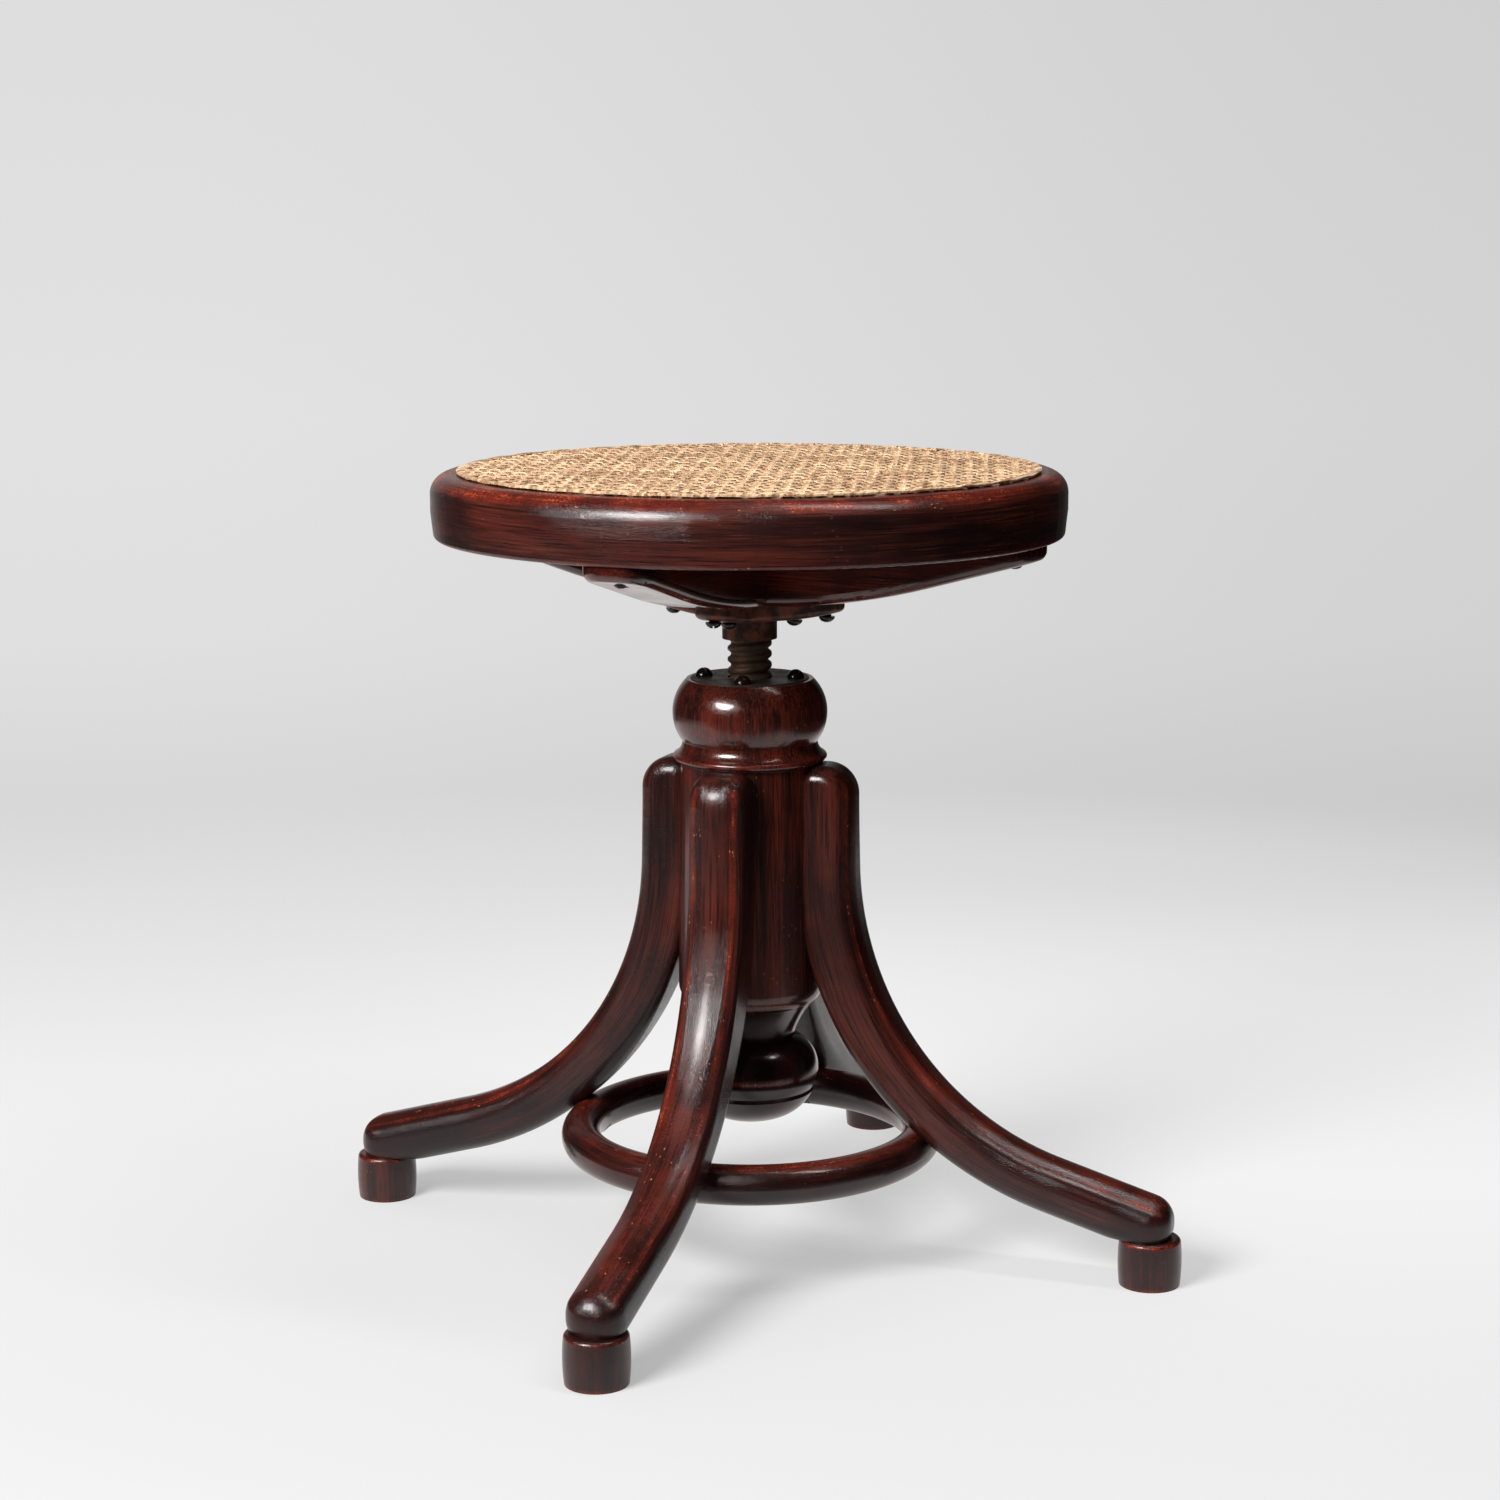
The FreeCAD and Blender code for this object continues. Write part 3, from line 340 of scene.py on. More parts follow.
# %% Stained beech group
def stained_beech():
    """The stain, the rubbed places, the flecks and the crackled shellac."""
    group, given, result = new_group(
        "Stained beech",
        [("Place", "Vector"), ("Grain", "Vector"), ("Across", "Float", 0.0),
         ("Rubbed", "Float", 0.0), ("Tone", "Float", 0.5), ("Streaks", "Float", 1.0)],
        [("Color", "Color"), ("Roughness", "Float"), ("Height", "Float"), ("Gloss", "Float")])

    def grain_place(along, across, shift):
        stretched = vectors(group, "MULTIPLY", given["Grain"], (along, along, across))
        return vectors(group, "ADD", stretched, (shift, shift * 0.7, 0.0))

    def grain_noise(scales, detail=2.0, roughness=0.5, shift=0.0):
        return noise(group, grain_place(*scales, shift), 1.0, detail, roughness,
                     times(group, given["Across"], scales[1]))

    def spot_noise(scale, detail=2.0, roughness=0.5):
        return noise(group, given["Place"], scale, detail, roughness)

    bands = grain_noise(BAND_SCALES)
    streaks = grain_noise(STREAK_SCALES, 3.0, 0.6)
    hairs = grain_noise(HAIR_SCALES, shift=3.0)
    cloud = spot_noise(13.0, 3.0, 0.55)

    # The stain: dark and red bands, light streaks and dark pores
    dark, red, light = [mixed(group, given["Tone"], *stain) for stain in (DARK_STAIN, RED_STAIN, LIGHT_STAIN)]
    color = mixed(group, ramp(group, bands, 0.34, 0.66), dark, red)
    lightness = times(group, ramp(group, streaks, 0.50, 0.74), given["Streaks"], 0.55)
    color = mixed(group, lightness, color, light)
    color = mixed(group, ramp(group, streaks, 0.52, 0.32, 0.0, 0.8), color, DARK_STREAK)
    color = mixed(group, ramp(group, cloud, 0.42, 0.66, 0.0, 0.7), color, DARK_CLOUD)
    color = mixed(group, ramp(group, hairs, 0.56, 0.70, 0.0, 0.5), color, DARK_PORE)

    # Where hands and shoes have thinned the shellac, the red shows through, and
    # where the mask is painted light, the same red paints a lit edge or a glow
    thin = times(group, ramp(group, spot_noise(34.0, 5.0, 0.66), 0.38, 0.62, 0.45, 1.0),
                 ramp(group, streaks, 0.36, 0.60, 0.6, 1.0),
                 ramp(group, spot_noise(900.0, 3.0, 0.65), 0.38, 0.60, 0.55, 1.0))
    worn_and_lit = times(group, given["Rubbed"], thin)
    color = mixed(group, ramp(group, worn_and_lit, 0.0, 0.8, 0.0, 0.85), color, WORN_AND_LIT_RED)
    color = mixed(group, ramp(group, worn_and_lit, 0.66, 1.0, 0.0, 0.8), color, WORN_AND_LIT_ORANGE)

    # Small pale flecks, each a little longer along the grain
    across = times(group, given["Across"], FLECK_SCALES[1])
    cells = add(group, "TexVoronoi", {"Vector": grain_place(*FLECK_SCALES, 1.3), "W": across, "Scale": 1.0},
                voronoi_dimensions="4D").outputs
    kept = times(group, ramp(group, spot_noise(85.0), 0.54, 0.60),
                 ramp(group, given["Rubbed"], 0.02, 0.5, 0.05, 0.8))
    fleck = times(group, ramp(group, cells["Distance"], 0.26, 0.14), kept)
    color = mixed(group, fleck, color, PALE_FLECK)

    # The skin: a fine crackle, shallow pores and the brush's long waves
    cracks = add(group, "TexVoronoi", {"Vector": given["Place"], "Scale": CRACKLE_SCALE},
                 feature="DISTANCE_TO_EDGE").outputs["Distance"]
    crazed = ramp(group, spot_noise(26.0), 0.36, 0.60, 0.3, 0.9)
    height = times(group, ramp(group, cracks, 0.0, 0.12), crazed, 0.35)
    height = sums(group, "MULTIPLY_ADD", spot_noise(560.0, 2.0, 0.55), 0.6, height)
    height = sums(group, "MULTIPLY_ADD", spot_noise(110.0, 1.0), 0.5, height)
    height = sums(group, "MULTIPLY_ADD", streaks, 0.2, height)
    height = sums(group, "SUBTRACT", height, times(group, fleck, 0.6))

    # The shellac is duller and thinner where it is rubbed
    roughness = sums(group, "MULTIPLY_ADD", worn_and_lit, 0.10, ramp(group, cloud, 0.3, 0.7, 0.16, 0.22))
    gloss = ramp(group, spot_noise(20.0, 3.0, 0.6), 0.3, 0.6, 0.35, 0.75)
    gloss = sums(group, "SUBTRACT", gloss, times(group, worn_and_lit, 0.2))
    feed(group, result, {"Color": color, "Roughness": roughness, "Height": height, "Gloss": gloss})
    return group


BEECH = stained_beech()
print("stained beech group with", len(BEECH.nodes), "nodes")

# %% [markdown]
# ## One finish, several pieces
# Every wooden piece uses the same group with its own grain and its own rubbed
# places. This function makes such a material. The rubbed places come from a
# small function that reads where a point lies on the piece: near the top
# edge of the rim, say, or along a leg's corners. On the rim's top and round
# the column's belly that mask also paints light. Some pieces also have a
# crown, a slope in the bump's height that rounds a highlight across the wood.

# %% Varnished beech material
SHELLAC_TINT = (0.80, 0.60, 0.54, 1.0)
WOOD_SPECULAR = 0.42
SKIN_DEPTH = 0.0003


def varnished(name, grain_group, rubbed, tone, streaks=1.0, turn=0.0, bump=0.38, crown=None,
              coat=1.0, haze=0.12):
    """Stained beech under shellac: coat is how much of it is left, and haze is how dull it is."""
    material, tree, shader, place = new_material(name)
    turned = turned_by(tree, place, turn)
    grain = use(tree, grain_group, {"Place": turned})
    finish = use(tree, BEECH, {"Place": place, "Grain": grain["Grain"], "Across": grain["Across"],
                               "Tone": tone, "Streaks": streaks, "Rubbed": rubbed(tree, turned, grain)})
    height = finish["Height"]
    if crown:
        height = sums(tree, "SUBTRACT", height, crown(tree, turned, grain))
    feed(tree, shader.inputs, {
        "Base Color": finish["Color"], "Roughness": finish["Roughness"], "Specular IOR Level": WOOD_SPECULAR,
        "Coat Weight": times(tree, finish["Gloss"], coat), "Coat Roughness": haze, "Coat Tint": SHELLAC_TINT})
    press(tree, shader, height, bump, SKIN_DEPTH)
    return material


def worn_and_lit_bands(everywhere, *bands, top=None):
    """Bands of (height, reach, strength) and a top of (low, high, 0, strength): left out, it is one."""
    def mask(tree, place, grain):
        z = split(tree, place)["Z"]
        marks = [near(tree, z, *band) for band in bands]
        if top:
            marks.append(ramp(tree, z, *top))
        return either(tree, *marks, everywhere)
    return mask


print("varnished() ready")

# %% Rim
RIM_EDGE_Z = 0.4190
RIM_TOP_WORN_AND_LIT_Z = 0.4440, 0.4500
RIM_ROUND_Z = 0.4350, 0.4515


def rim_crown(tree, place, grain):
    return ramp(tree, split(tree, place)["Z"], *RIM_ROUND_Z, 0.0, 9.0)


# The rim's whole top is painted orange red: partly wear, and partly painted light, as if the top edge were
# lit from above
rim_worn_and_lit = worn_and_lit_bands(0.1, (RIM_EDGE_Z, 0.0014), top=RIM_TOP_WORN_AND_LIT_Z)
cover(varnished("Rim beech", HOOP_GRAIN, rim_worn_and_lit, tone=0.3, bump=0.45, crown=rim_crown, coat=0.3,
                haze=0.25), "seat_rim")

# %% [markdown]
# ## Legs, column and the rest
# The legs are rubbed along the two corners of their outer face, by trouser
# legs and brooms. The column keeps its finish between them, except on the
# sharp edge of its collar, round the belly of its head and at its lower end.
# Round the belly the red is partly wear and partly a painted glow.
# The foot ring is rubbed on top where feet rest.

# %% Legs
LEG_HALF_WIDTH = 0.0135
LEG_CORNER_Y = 0.0118
LEG_CORNER_REACH = 0.0034


def leg_rubbed(tree, place, grain):
    """Rubbed along both corners of the outer face, and on that face further down."""
    side = sums(tree, "ABSOLUTE", split(tree, place)["Y"])
    corner = times(tree, near(tree, side, LEG_CORNER_Y, LEG_CORNER_REACH),
                   ramp(tree, grain["Depth"], -0.0075, -0.0125))
    along = split(tree, grain["Grain"])["X"]
    face = times(tree, ramp(tree, grain["Depth"], -0.0110, -0.0152),
                 ramp(tree, along, 0.06, 0.17, 0.24, 0.62))
    return either(tree, corner, face, 0.04)


def leg_crown(tree, place, grain):
    """The outer face falls away from its middle to its corners."""
    side = sums(tree, "ABSOLUTE", split(tree, place)["Y"])
    return times(tree, ramp(tree, side, 0.0, LEG_HALF_WIDTH, 0.0, 16.0),
                 ramp(tree, grain["Depth"], -0.0080, -0.0145))


for leg, turn in (("leg_right", 0), ("leg_back", -90), ("leg_left", -180), ("leg_front", 90)):
    cover(varnished("Beech of " + leg, LEG_GRAIN, leg_rubbed, tone=0.39, streaks=0.45,
                    turn=math.radians(turn), crown=leg_crown, coat=0.08), leg)

# %% Column, finial, feet and ring
COLUMN_END_Z = 0.1500
COLLAR_Z = 0.2905
BELLY_Z = 0.3090
FINIAL_EDGE_Z = 0.1045
FOOT_LOW_Z = 0.0005
FOOT_TOP_Z = 0.0260
RING_RUBBED_Z = 0.0715, 0.0760

# Round the belly of the head the red is partly wear and partly a painted glow of light through the shellac
column_worn_and_glowing = worn_and_lit_bands(0.2, (COLLAR_Z, 0.0022, 0.8), (BELLY_Z, 0.0140, 0.4), (COLUMN_END_Z, 0.003))
finial_rubbed = worn_and_lit_bands(0.02, (FINIAL_EDGE_Z, 0.003))
foot_rubbed = worn_and_lit_bands(0.12, (FOOT_LOW_Z, 0.0025), (FOOT_TOP_Z, 0.002))
ring_rubbed = worn_and_lit_bands(0.1, top=(*RING_RUBBED_Z, 0.0, 0.8))
cover(varnished("Column beech", UPRIGHT_GRAIN, column_worn_and_glowing, tone=0.85, streaks=0.8, bump=0.25), "column")
cover(varnished("Finial beech", UPRIGHT_GRAIN, finial_rubbed, tone=0.0, streaks=0.4, bump=0.15),
      "column_finial")
cover(varnished("Foot beech", UPRIGHT_GRAIN, foot_rubbed, tone=0.5, streaks=0.7, coat=0.4),
      "foot_front", "foot_right", "foot_back", "foot_left")
cover(varnished("Ring beech", HOOP_GRAIN, ring_rubbed, tone=0.28, streaks=0.6, coat=0.7), "foot_ring")

# %% Seat bars
CROSS_TURN = math.radians(-5)
BAR_HALF_WIDTH = 0.0175


def bar_rubbed(tree, place, grain):
    """Rubbed along the two lower corners."""
    parts = split(tree, place)
    side = near(tree, sums(tree, "ABSOLUTE", parts["Y"]), BAR_HALF_WIDTH, 0.0030)
    return either(tree, times(tree, side, ramp(tree, parts["Z"], 0.4100, 0.3980)), 0.08)


for level, turn in (("lower", 0), ("upper", 90)):
    cover(varnished(level.capitalize() + " bar beech", BAR_GRAIN, bar_rubbed, tone=0.5,
                    turn=-CROSS_TURN - math.radians(turn), bump=0.1, coat=1.5, haze=0.04),
          "cross_bar_" + level)

# %% Bare dowels
def bare_beech():
    """Pale wood without stain or shellac, which only the dowels have."""
    material, tree, shader, place = new_material("Bare beech")
    grain = use(tree, UPRIGHT_GRAIN, {"Place": place})
    lines = noise(tree, grain["Grain"], 400.0, across=grain["Across"])
    feed(tree, shader.inputs, {
        "Base Color": mixed(tree, lines, linear(206, 168, 124), linear(178, 134, 92)),
        "Roughness": ramp(tree, lines, 0.3, 0.7, 0.55, 0.75)})
    return material


cover(bare_beech(), "leg_dowels", "foot_dowels")

# %% [markdown]
# ## Iron
# The flange and the nut plate are cast, with a fine sandy skin, and the
# spindle is turned steel. All of it has been painted or oiled brown-black
# and has rubbed through to warm rust on its edges. One group gives the
# patchy colour, the roughness and the sandy height.

# %% Old iron group
SAND_SCALE = 1400.0
BLOTCH_SCALE = 120.0
IRON_PIT = linear(20, 15, 13)


def old_iron():
    """Rust in blotches over a base colour, with dark pits between the grains of sand."""
    group, given, result = new_group(
        "Old iron", [("Place", "Vector"), ("Worn", "Float", 0.3), ("Base", "Color"), ("Rust", "Color")],
        [("Color", "Color"), ("Roughness", "Float"), ("Height", "Float")])
    sand = noise(group, given["Place"], SAND_SCALE, 3.0)
    blotch = noise(group, given["Place"], BLOTCH_SCALE, 4.0, 0.62)
    rust = times(group, ramp(group, blotch, 0.42, 0.62), given["Worn"])
    color = mixed(group, rust, given["Base"], given["Rust"])
    color = mixed(group, ramp(group, sand, 0.5, 0.75, 0.0, 0.35), color, IRON_PIT)
    feed(group, result, {
        "Color": color, "Roughness": ramp(group, blotch, 0.3, 0.7, 0.38, 0.60),
        "Height": sums(group, "MULTIPLY_ADD", blotch, 0.6, sand)})
    return group


OLD_IRON = old_iron()


def iron(name, base, rust, worn, metallic, bump, polish=1.0):
    """Old iron in two colours. A polish below one makes it smoother."""
    material, tree, shader, place = new_material(name)
    skin = use(tree, OLD_IRON, {"Place": place, "Worn": worn, "Base": base, "Rust": rust})
    feed(tree, shader.inputs, {"Base Color": skin["Color"], "Metallic": metallic,
                               "Roughness": times(tree, skin["Roughness"], polish)})
    press(tree, shader, skin["Height"], bump, SKIN_DEPTH)
    return material


FLANGE_IRON = iron("Flange iron", linear(60, 43, 36), linear(136, 74, 48), worn=0.8, metallic=0.25,
                   bump=0.6, polish=0.8)
PLATE_IRON = iron("Plate iron", linear(62, 55, 48), linear(84, 62, 46), worn=0.4, metallic=0.35, bump=0.4)
THREAD_STEEL = iron("Thread steel", linear(96, 82, 68), linear(124, 90, 66), worn=0.7, metallic=0.5, bump=0.3)
SCREW_STEEL = iron("Screw steel", linear(24, 16, 15), linear(60, 34, 26), worn=0.4, metallic=0.3,
                   bump=0.1, polish=0.35)
cover(FLANGE_IRON, "spindle_flange")
cover(PLATE_IRON, "nut_plate")
cover(THREAD_STEEL, "stop_collar", "spindle_nut")

# %% [markdown]
# ## Tools for modelling
# New pieces are made with the operators that a person would use in the
# window. These helpers start a piece, pick its points by their place, apply
# its modifiers and its place to its mesh, and close it: doubled points are
# joined and its faces point outwards.

# %% Starting and shaping a piece
SAME_PLACE = 1e-6


def alone(piece):
    """Selects one piece and nothing else."""
    bpy.ops.object.select_all(action="DESELECT")
    piece.select_set(True)
    bpy.context.view_layer.objects.active = piece


def started(name):
    """Names the piece that was just made, and makes it the only selected one."""
    piece = bpy.context.object
    piece.name = piece.data.name = name
    alone(piece)
    return piece


def primitive(name, operator, **settings):
    """Adds a primitive with nothing else selected, and names it."""
    bpy.ops.object.select_all(action="DESELECT")
    operator(**settings)
    return started(name)


@contextmanager
def edit_mode():
    """Edit mode with the whole mesh selected, and object mode again at the end."""
    bpy.ops.object.mode_set(mode="EDIT")
    bpy.ops.mesh.select_all(action="SELECT")
    yield
    bpy.ops.object.mode_set(mode="OBJECT")


def pick(piece, test, mode="VERT"):
    """In edit mode, selects the points or faces whose place passes the test."""
    bpy.ops.mesh.select_mode(type=mode)
    bpy.ops.mesh.select_all(action="DESELECT")
    mesh = bmesh.from_edit_mesh(piece.data)
    for item in mesh.verts if mode == "VERT" else mesh.faces:
        item.select_set(test(item.co if mode == "VERT" else item.calc_center_median()))
    mesh.select_flush_mode()
    bmesh.update_edit_mesh(piece.data)


def move(x, y, z):
    """Moves what is selected in edit mode."""
    bpy.ops.transform.translate(value=(x, y, z))


def extrude(x, y, z):
    """Extrudes what is selected in edit mode."""
    bpy.ops.mesh.extrude_region_move(TRANSFORM_OT_translate={"value": (x, y, z)})


print("tools for edit mode ready")

# %% Modifiers and places
def modify(piece, kind, **settings):
    """Adds a modifier and makes its settings."""
    modifier = piece.modifiers.new(kind.title(), kind)
    for key, value in settings.items():
        setattr(modifier, key, value)


def apply_all(piece):
    """Applies the piece's modifiers in turn."""
    alone(piece)
    for modifier in list(piece.modifiers):
        bpy.ops.object.modifier_apply(modifier=modifier.name)


def apply_place(piece):
    """Puts the piece's place, turn and scale into its mesh."""
    alone(piece)
    bpy.ops.object.transform_apply(location=True, rotation=True, scale=True)


def settle(piece, turn=(0, 0, 0), shift=(0, 0, 0)):
    """Turns and shifts a piece, and applies that to its mesh."""
    piece.rotation_euler = turn
    piece.location = shift
    apply_place(piece)


def thickened(piece, thickness):
    """Gives a sheet its thickness, half to each side."""
    modify(piece, "SOLIDIFY", thickness=thickness, offset=0)
    apply_all(piece)


print("modifier tools ready")

# %% Copying, joining and finishing pieces
def closed(piece, double=SAME_PLACE):
    """Joins doubled points and points all faces outwards."""
    alone(piece)
    with edit_mode():
        bpy.ops.mesh.remove_doubles(threshold=double)
        bpy.ops.mesh.normals_make_consistent(inside=False)


def copied(piece, name):
    """A copy with its own mesh."""
    copy = piece.copy()
    copy.data = piece.data.copy()
    copy.name = copy.data.name = name
    bpy.context.scene.collection.objects.link(copy)
    return copy


def joined(pieces, name):
    """Several pieces made into one."""
    bpy.ops.object.select_all(action="DESELECT")
    for piece in pieces:
        piece.select_set(True)
    bpy.context.view_layer.objects.active = pieces[0]
    bpy.ops.object.join()
    return started(name)


def finished(piece, body, replaced, material, smooth):
    """Smooths a piece, gives it its material and puts it in the place of a node."""
    alone(piece)
    bpy.ops.object.shade_smooth_by_angle(angle=math.radians(smooth))
    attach(piece, body)
    if replaced:
        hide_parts(*replaced)
    cover(material, piece.name)
    low, high = [[round(v * 1000, 1) for v in piece.bound_box[corner]] for corner in (0, 6)]
    print(piece.name, len(piece.data.polygons), "faces, from", low, "to", high, "mm")


print("modelling tools ready")

# %% [markdown]
# ## The woven cane
# A caned seat has six runs of split cane. Two run up, two run across and
# weave through them, and one runs along each diagonal and cuts the corners
# of the squares, which leaves the octagon holes. The pattern repeats every
# 12.2 mm, so one repeat is modelled: a flat strip is extruded from station
# to station, over and under, and Array modifiers repeat it over the seat.
# Everything outside the binding is then deleted, and Solidify gives the
# strands their thickness.

# %% One strand
PITCH = 0.0122
STRAND_WIDTH = 0.00225
STRAND_THICKNESS = 0.0007
STRAND_CROWN = 0.00014
STRAND_SWING = 0.00036
# Each station is a distance in pitches and a height in swings
UPRIGHT_STATIONS = [(-0.5, 0), (-0.28, -0.4), (-0.107, -1), (0.107, 1), (0.28, 0.4), (0.5, 0)]


def strand(name, width, stations, step, swing, crown=STRAND_CROWN):
    """A strip along +Y that is extruded through stations, in steps along and swings up."""
    places = [(along * step, height * swing) for along, height in stations]
    first, second = places[:2]
    piece = primitive(name, bpy.ops.mesh.primitive_grid_add, x_subdivisions=2, y_subdivisions=1, size=1.0)
    piece.scale = (width, second[0] - first[0], 1)
    piece.location = (0, (first[0] + second[0]) / 2, 0)
    apply_place(piece)
    with edit_mode():
        for along, height in (first, second):
            pick(piece, lambda co: abs(co.y - along) < SAME_PLACE)
            move(0, 0, height)
        for (along, height), (far, far_height) in zip(places[1:], places[2:]):
            pick(piece, lambda co: abs(co.y - along) < SAME_PLACE)
            extrude(0, far - along, far_height - height)
        pick(piece, lambda co: abs(co.x) < SAME_PLACE)
        move(0, 0, crown)
    return piece


upright = strand("cane_upright", STRAND_WIDTH, UPRIGHT_STATIONS, PITCH, STRAND_SWING)
print("one upright strand:", len(upright.data.polygons), "faces a repeat")

# %% A pair of strands
PAIR_OFFSET = 0.0013

second = copied(upright, "cane_upright_second")
settle(upright, shift=(-PAIR_OFFSET, 0, 0))
alone(second)
with edit_mode():
    bpy.ops.transform.resize(value=(1, 1, -1))
    pick(second, lambda co: abs(co.x) < SAME_PLACE)
    move(0, 0, 2 * STRAND_CROWN)
settle(second, shift=(PAIR_OFFSET, 0, 0))
pair = joined([upright, second], "cane_pair")
across = copied(pair, "cane_pair_across")
print("two strands that swing against each other:", len(pair.data.polygons), "faces")

# %% Strands over the whole seat
REPEATS = 27
CANE_PLANE_Z = 0.45460
CANE_EDGE_R = 0.1618
CANE_TURN = math.radians(-29.6)


def repeated(piece, count, x=0.0, y=0.0):
    """Repeats a piece along X or Y by a fixed step and joins the ends."""
    modify(piece, "ARRAY", count=count, use_relative_offset=False, use_constant_offset=True,
           constant_offset_displace=(x, y, 0), use_merge_vertices=True, merge_threshold=SAME_PLACE)


def woven(piece, name, columns, rows, step, turn):
    """Repeats one tile, turns it, trims it to the seat and thickens it."""
    repeated(piece, rows, y=step)
    repeated(piece, columns, x=step)
    apply_all(piece)
    settle(piece, shift=(-(columns - 1) * step / 2, -(rows - 1) * step / 2, 0))
    settle(piece, turn=turn)
    settle(piece, turn=(0, 0, CANE_TURN), shift=(0, 0, CANE_PLANE_Z))
    with edit_mode():
        pick(piece, lambda co: math.hypot(co.x, co.y) > CANE_EDGE_R)
        bpy.ops.mesh.delete(type="VERT")
    thickened(piece, STRAND_THICKNESS)
    closed(piece)
    piece.name = piece.data.name = name
    return piece


uprights = woven(pair, "cane_uprights", REPEATS, REPEATS, PITCH, (0, 0, 0))
crossings = woven(across, "cane_crossings", REPEATS, REPEATS, PITCH, (0, 0, math.pi / 2))
print("pairs:", len(uprights.data.polygons), len(crossings.data.polygons))

# %% Diagonals
DIAGONAL_STEP = PITCH * math.sqrt(2)
DIAGONAL_SWING = 0.00070
DIAGONAL_REPEATS = 20, 21
DIAGONAL_STATIONS = [(-0.5, -1), (-0.35, -1), (-0.15, 1), (0.15, 1), (0.35, -1), (0.5, -1)]

rise = strand("cane_diagonal", STRAND_WIDTH, DIAGONAL_STATIONS, DIAGONAL_STEP, DIAGONAL_SWING)
dip = copied(rise, "cane_diagonal_next")
quarter = 0.25 * DIAGONAL_STEP
settle(rise, shift=(quarter, quarter, 0))
settle(dip, shift=(-quarter, -quarter, 0))
slope = joined([rise, dip], "cane_slope")
back_slope = copied(slope, "cane_back_slope")
diagonals = woven(slope, "cane_diagonals", *DIAGONAL_REPEATS, DIAGONAL_STEP, (0, 0, math.pi / 4))
counters = woven(back_slope, "cane_counter_diagonals", *DIAGONAL_REPEATS, DIAGONAL_STEP,
                 (0, math.pi, -math.pi / 4))
print("diagonals:", len(diagonals.data.polygons), len(counters.data.polygons))

# %% [markdown]
# ## Cane's finish
# Split cane keeps its hard glossy bark on top. It is honey coloured, darker
# at its joints and in dirty pores, and no two strands are quite the same
# tone. The colour noise is stretched along the strands, so each set turns
# its pattern to its own direction.

# %% Cane material
CANE_DARK = linear(150, 111, 75)
CANE_LIGHT = linear(242, 210, 170)
CANE_FIBRE = linear(140, 92, 58)
CANE_DIRT = linear(104, 58, 38)
FIBRE_STRETCH = (900.0, 40.0, 0.0)
TONE_STRETCH = (300.0, 12.0, 0.0)
SPECK_STRETCH = (620.0, 260.0, 300.0)
FIBRE_DEPTH = 0.0002


def cane(name, turn):
    """Split cane whose fibres run along its own Y once its place is turned."""
    material, tree, shader, place = new_material(name)
    turned = turned_by(tree, place, turn)
    fibres = noise(tree, vectors(tree, "MULTIPLY", turned, FIBRE_STRETCH), detail=3.0)
    tones = noise(tree, vectors(tree, "MULTIPLY", turned, TONE_STRETCH))
    specks = noise(tree, vectors(tree, "MULTIPLY", turned, SPECK_STRETCH))
    patches = noise(tree, place, 22.0)
    color = mixed(tree, ramp(tree, tones, 0.3, 0.7), CANE_DARK, CANE_LIGHT)
    color = mixed(tree, ramp(tree, fibres, 0.45, 0.75, 0.0, 0.6), color, CANE_FIBRE)
    dirt = times(tree, ramp(tree, specks, 0.56, 0.64), ramp(tree, patches, 0.36, 0.6, 0.25, 0.9))
    feed(tree, shader.inputs, {"Base Color": mixed(tree, dirt, color, CANE_DIRT),
                               "Roughness": ramp(tree, fibres, 0.3, 0.7, 0.36, 0.55)})
    press(tree, shader, fibres, 0.3, FIBRE_DEPTH)
    return material


finished(uprights, "seat", ["cane_panel"], cane("Cane along", -CANE_TURN), 60)
for run, title, degrees in ((crossings, "across", -90), (diagonals, "diagonal", -45),
                            (counters, "counter diagonal", 45)):
    finished(run, "seat", [], cane("Cane " + title, math.radians(degrees) - CANE_TURN), 60)

# %% [markdown]
# ## The binding
# A wider strand lies over the holes round the edge, and a thin strand comes
# up through every other hole and loops over it, so the binding rises a
# little between its ties. One length from tie to tie is modelled straight,
# repeated thirty-six times, and bent into a circle by a Simple Deform.

# %% One length of binding and one tie
BINDING_R = 0.1629
BINDING_LENGTH = 2 * math.pi * BINDING_R
TIES = 36
TIE_STEP = BINDING_LENGTH / TIES
BINDING_WIDTH = 0.0042
BINDING_THICKNESS = 0.0010
BINDING_SWING = 0.0008
BINDING_CROWN = 0.0005
TIE_WIDTH = 0.0021
TIE_THICKNESS = 0.0006
# The binding's stations are in steps and swings, the tie's in metres
BINDING_STATIONS = [(0.0, 0.0), (0.10, 0.12), (0.26, 0.40), (0.5, 0.55), (0.74, 0.40), (0.90, 0.12),
                    (1.0, 0.0)]
TIE_STATIONS = [(-0.0036, -0.0014), (-0.0026, -0.0002), (-0.0019, 0.0006), (0.0, 0.00085),
                (0.0019, 0.0006), (0.0026, -0.0002), (0.0036, -0.0014)]

step = strand("binding_step", BINDING_WIDTH, BINDING_STATIONS, TIE_STEP, BINDING_SWING, BINDING_CROWN)
thickened(step, BINDING_THICKNESS)
with edit_mode():
    pick(step, lambda co: min(abs(co.y), abs(co.y - TIE_STEP)) < SAME_PLACE, "FACE")
    bpy.ops.mesh.delete(type="ONLY_FACE")
tie = strand("binding_tie", TIE_WIDTH, TIE_STATIONS, 1, 1)
thickened(tie, TIE_THICKNESS)
settle(tie, turn=(0, 0, math.pi / 2))
print("from tie to tie", round(TIE_STEP * 1000, 1), "mm")

# %% Both wrapped round the seat
BINDING_Z = 0.4548
TIE_Z = 0.4551


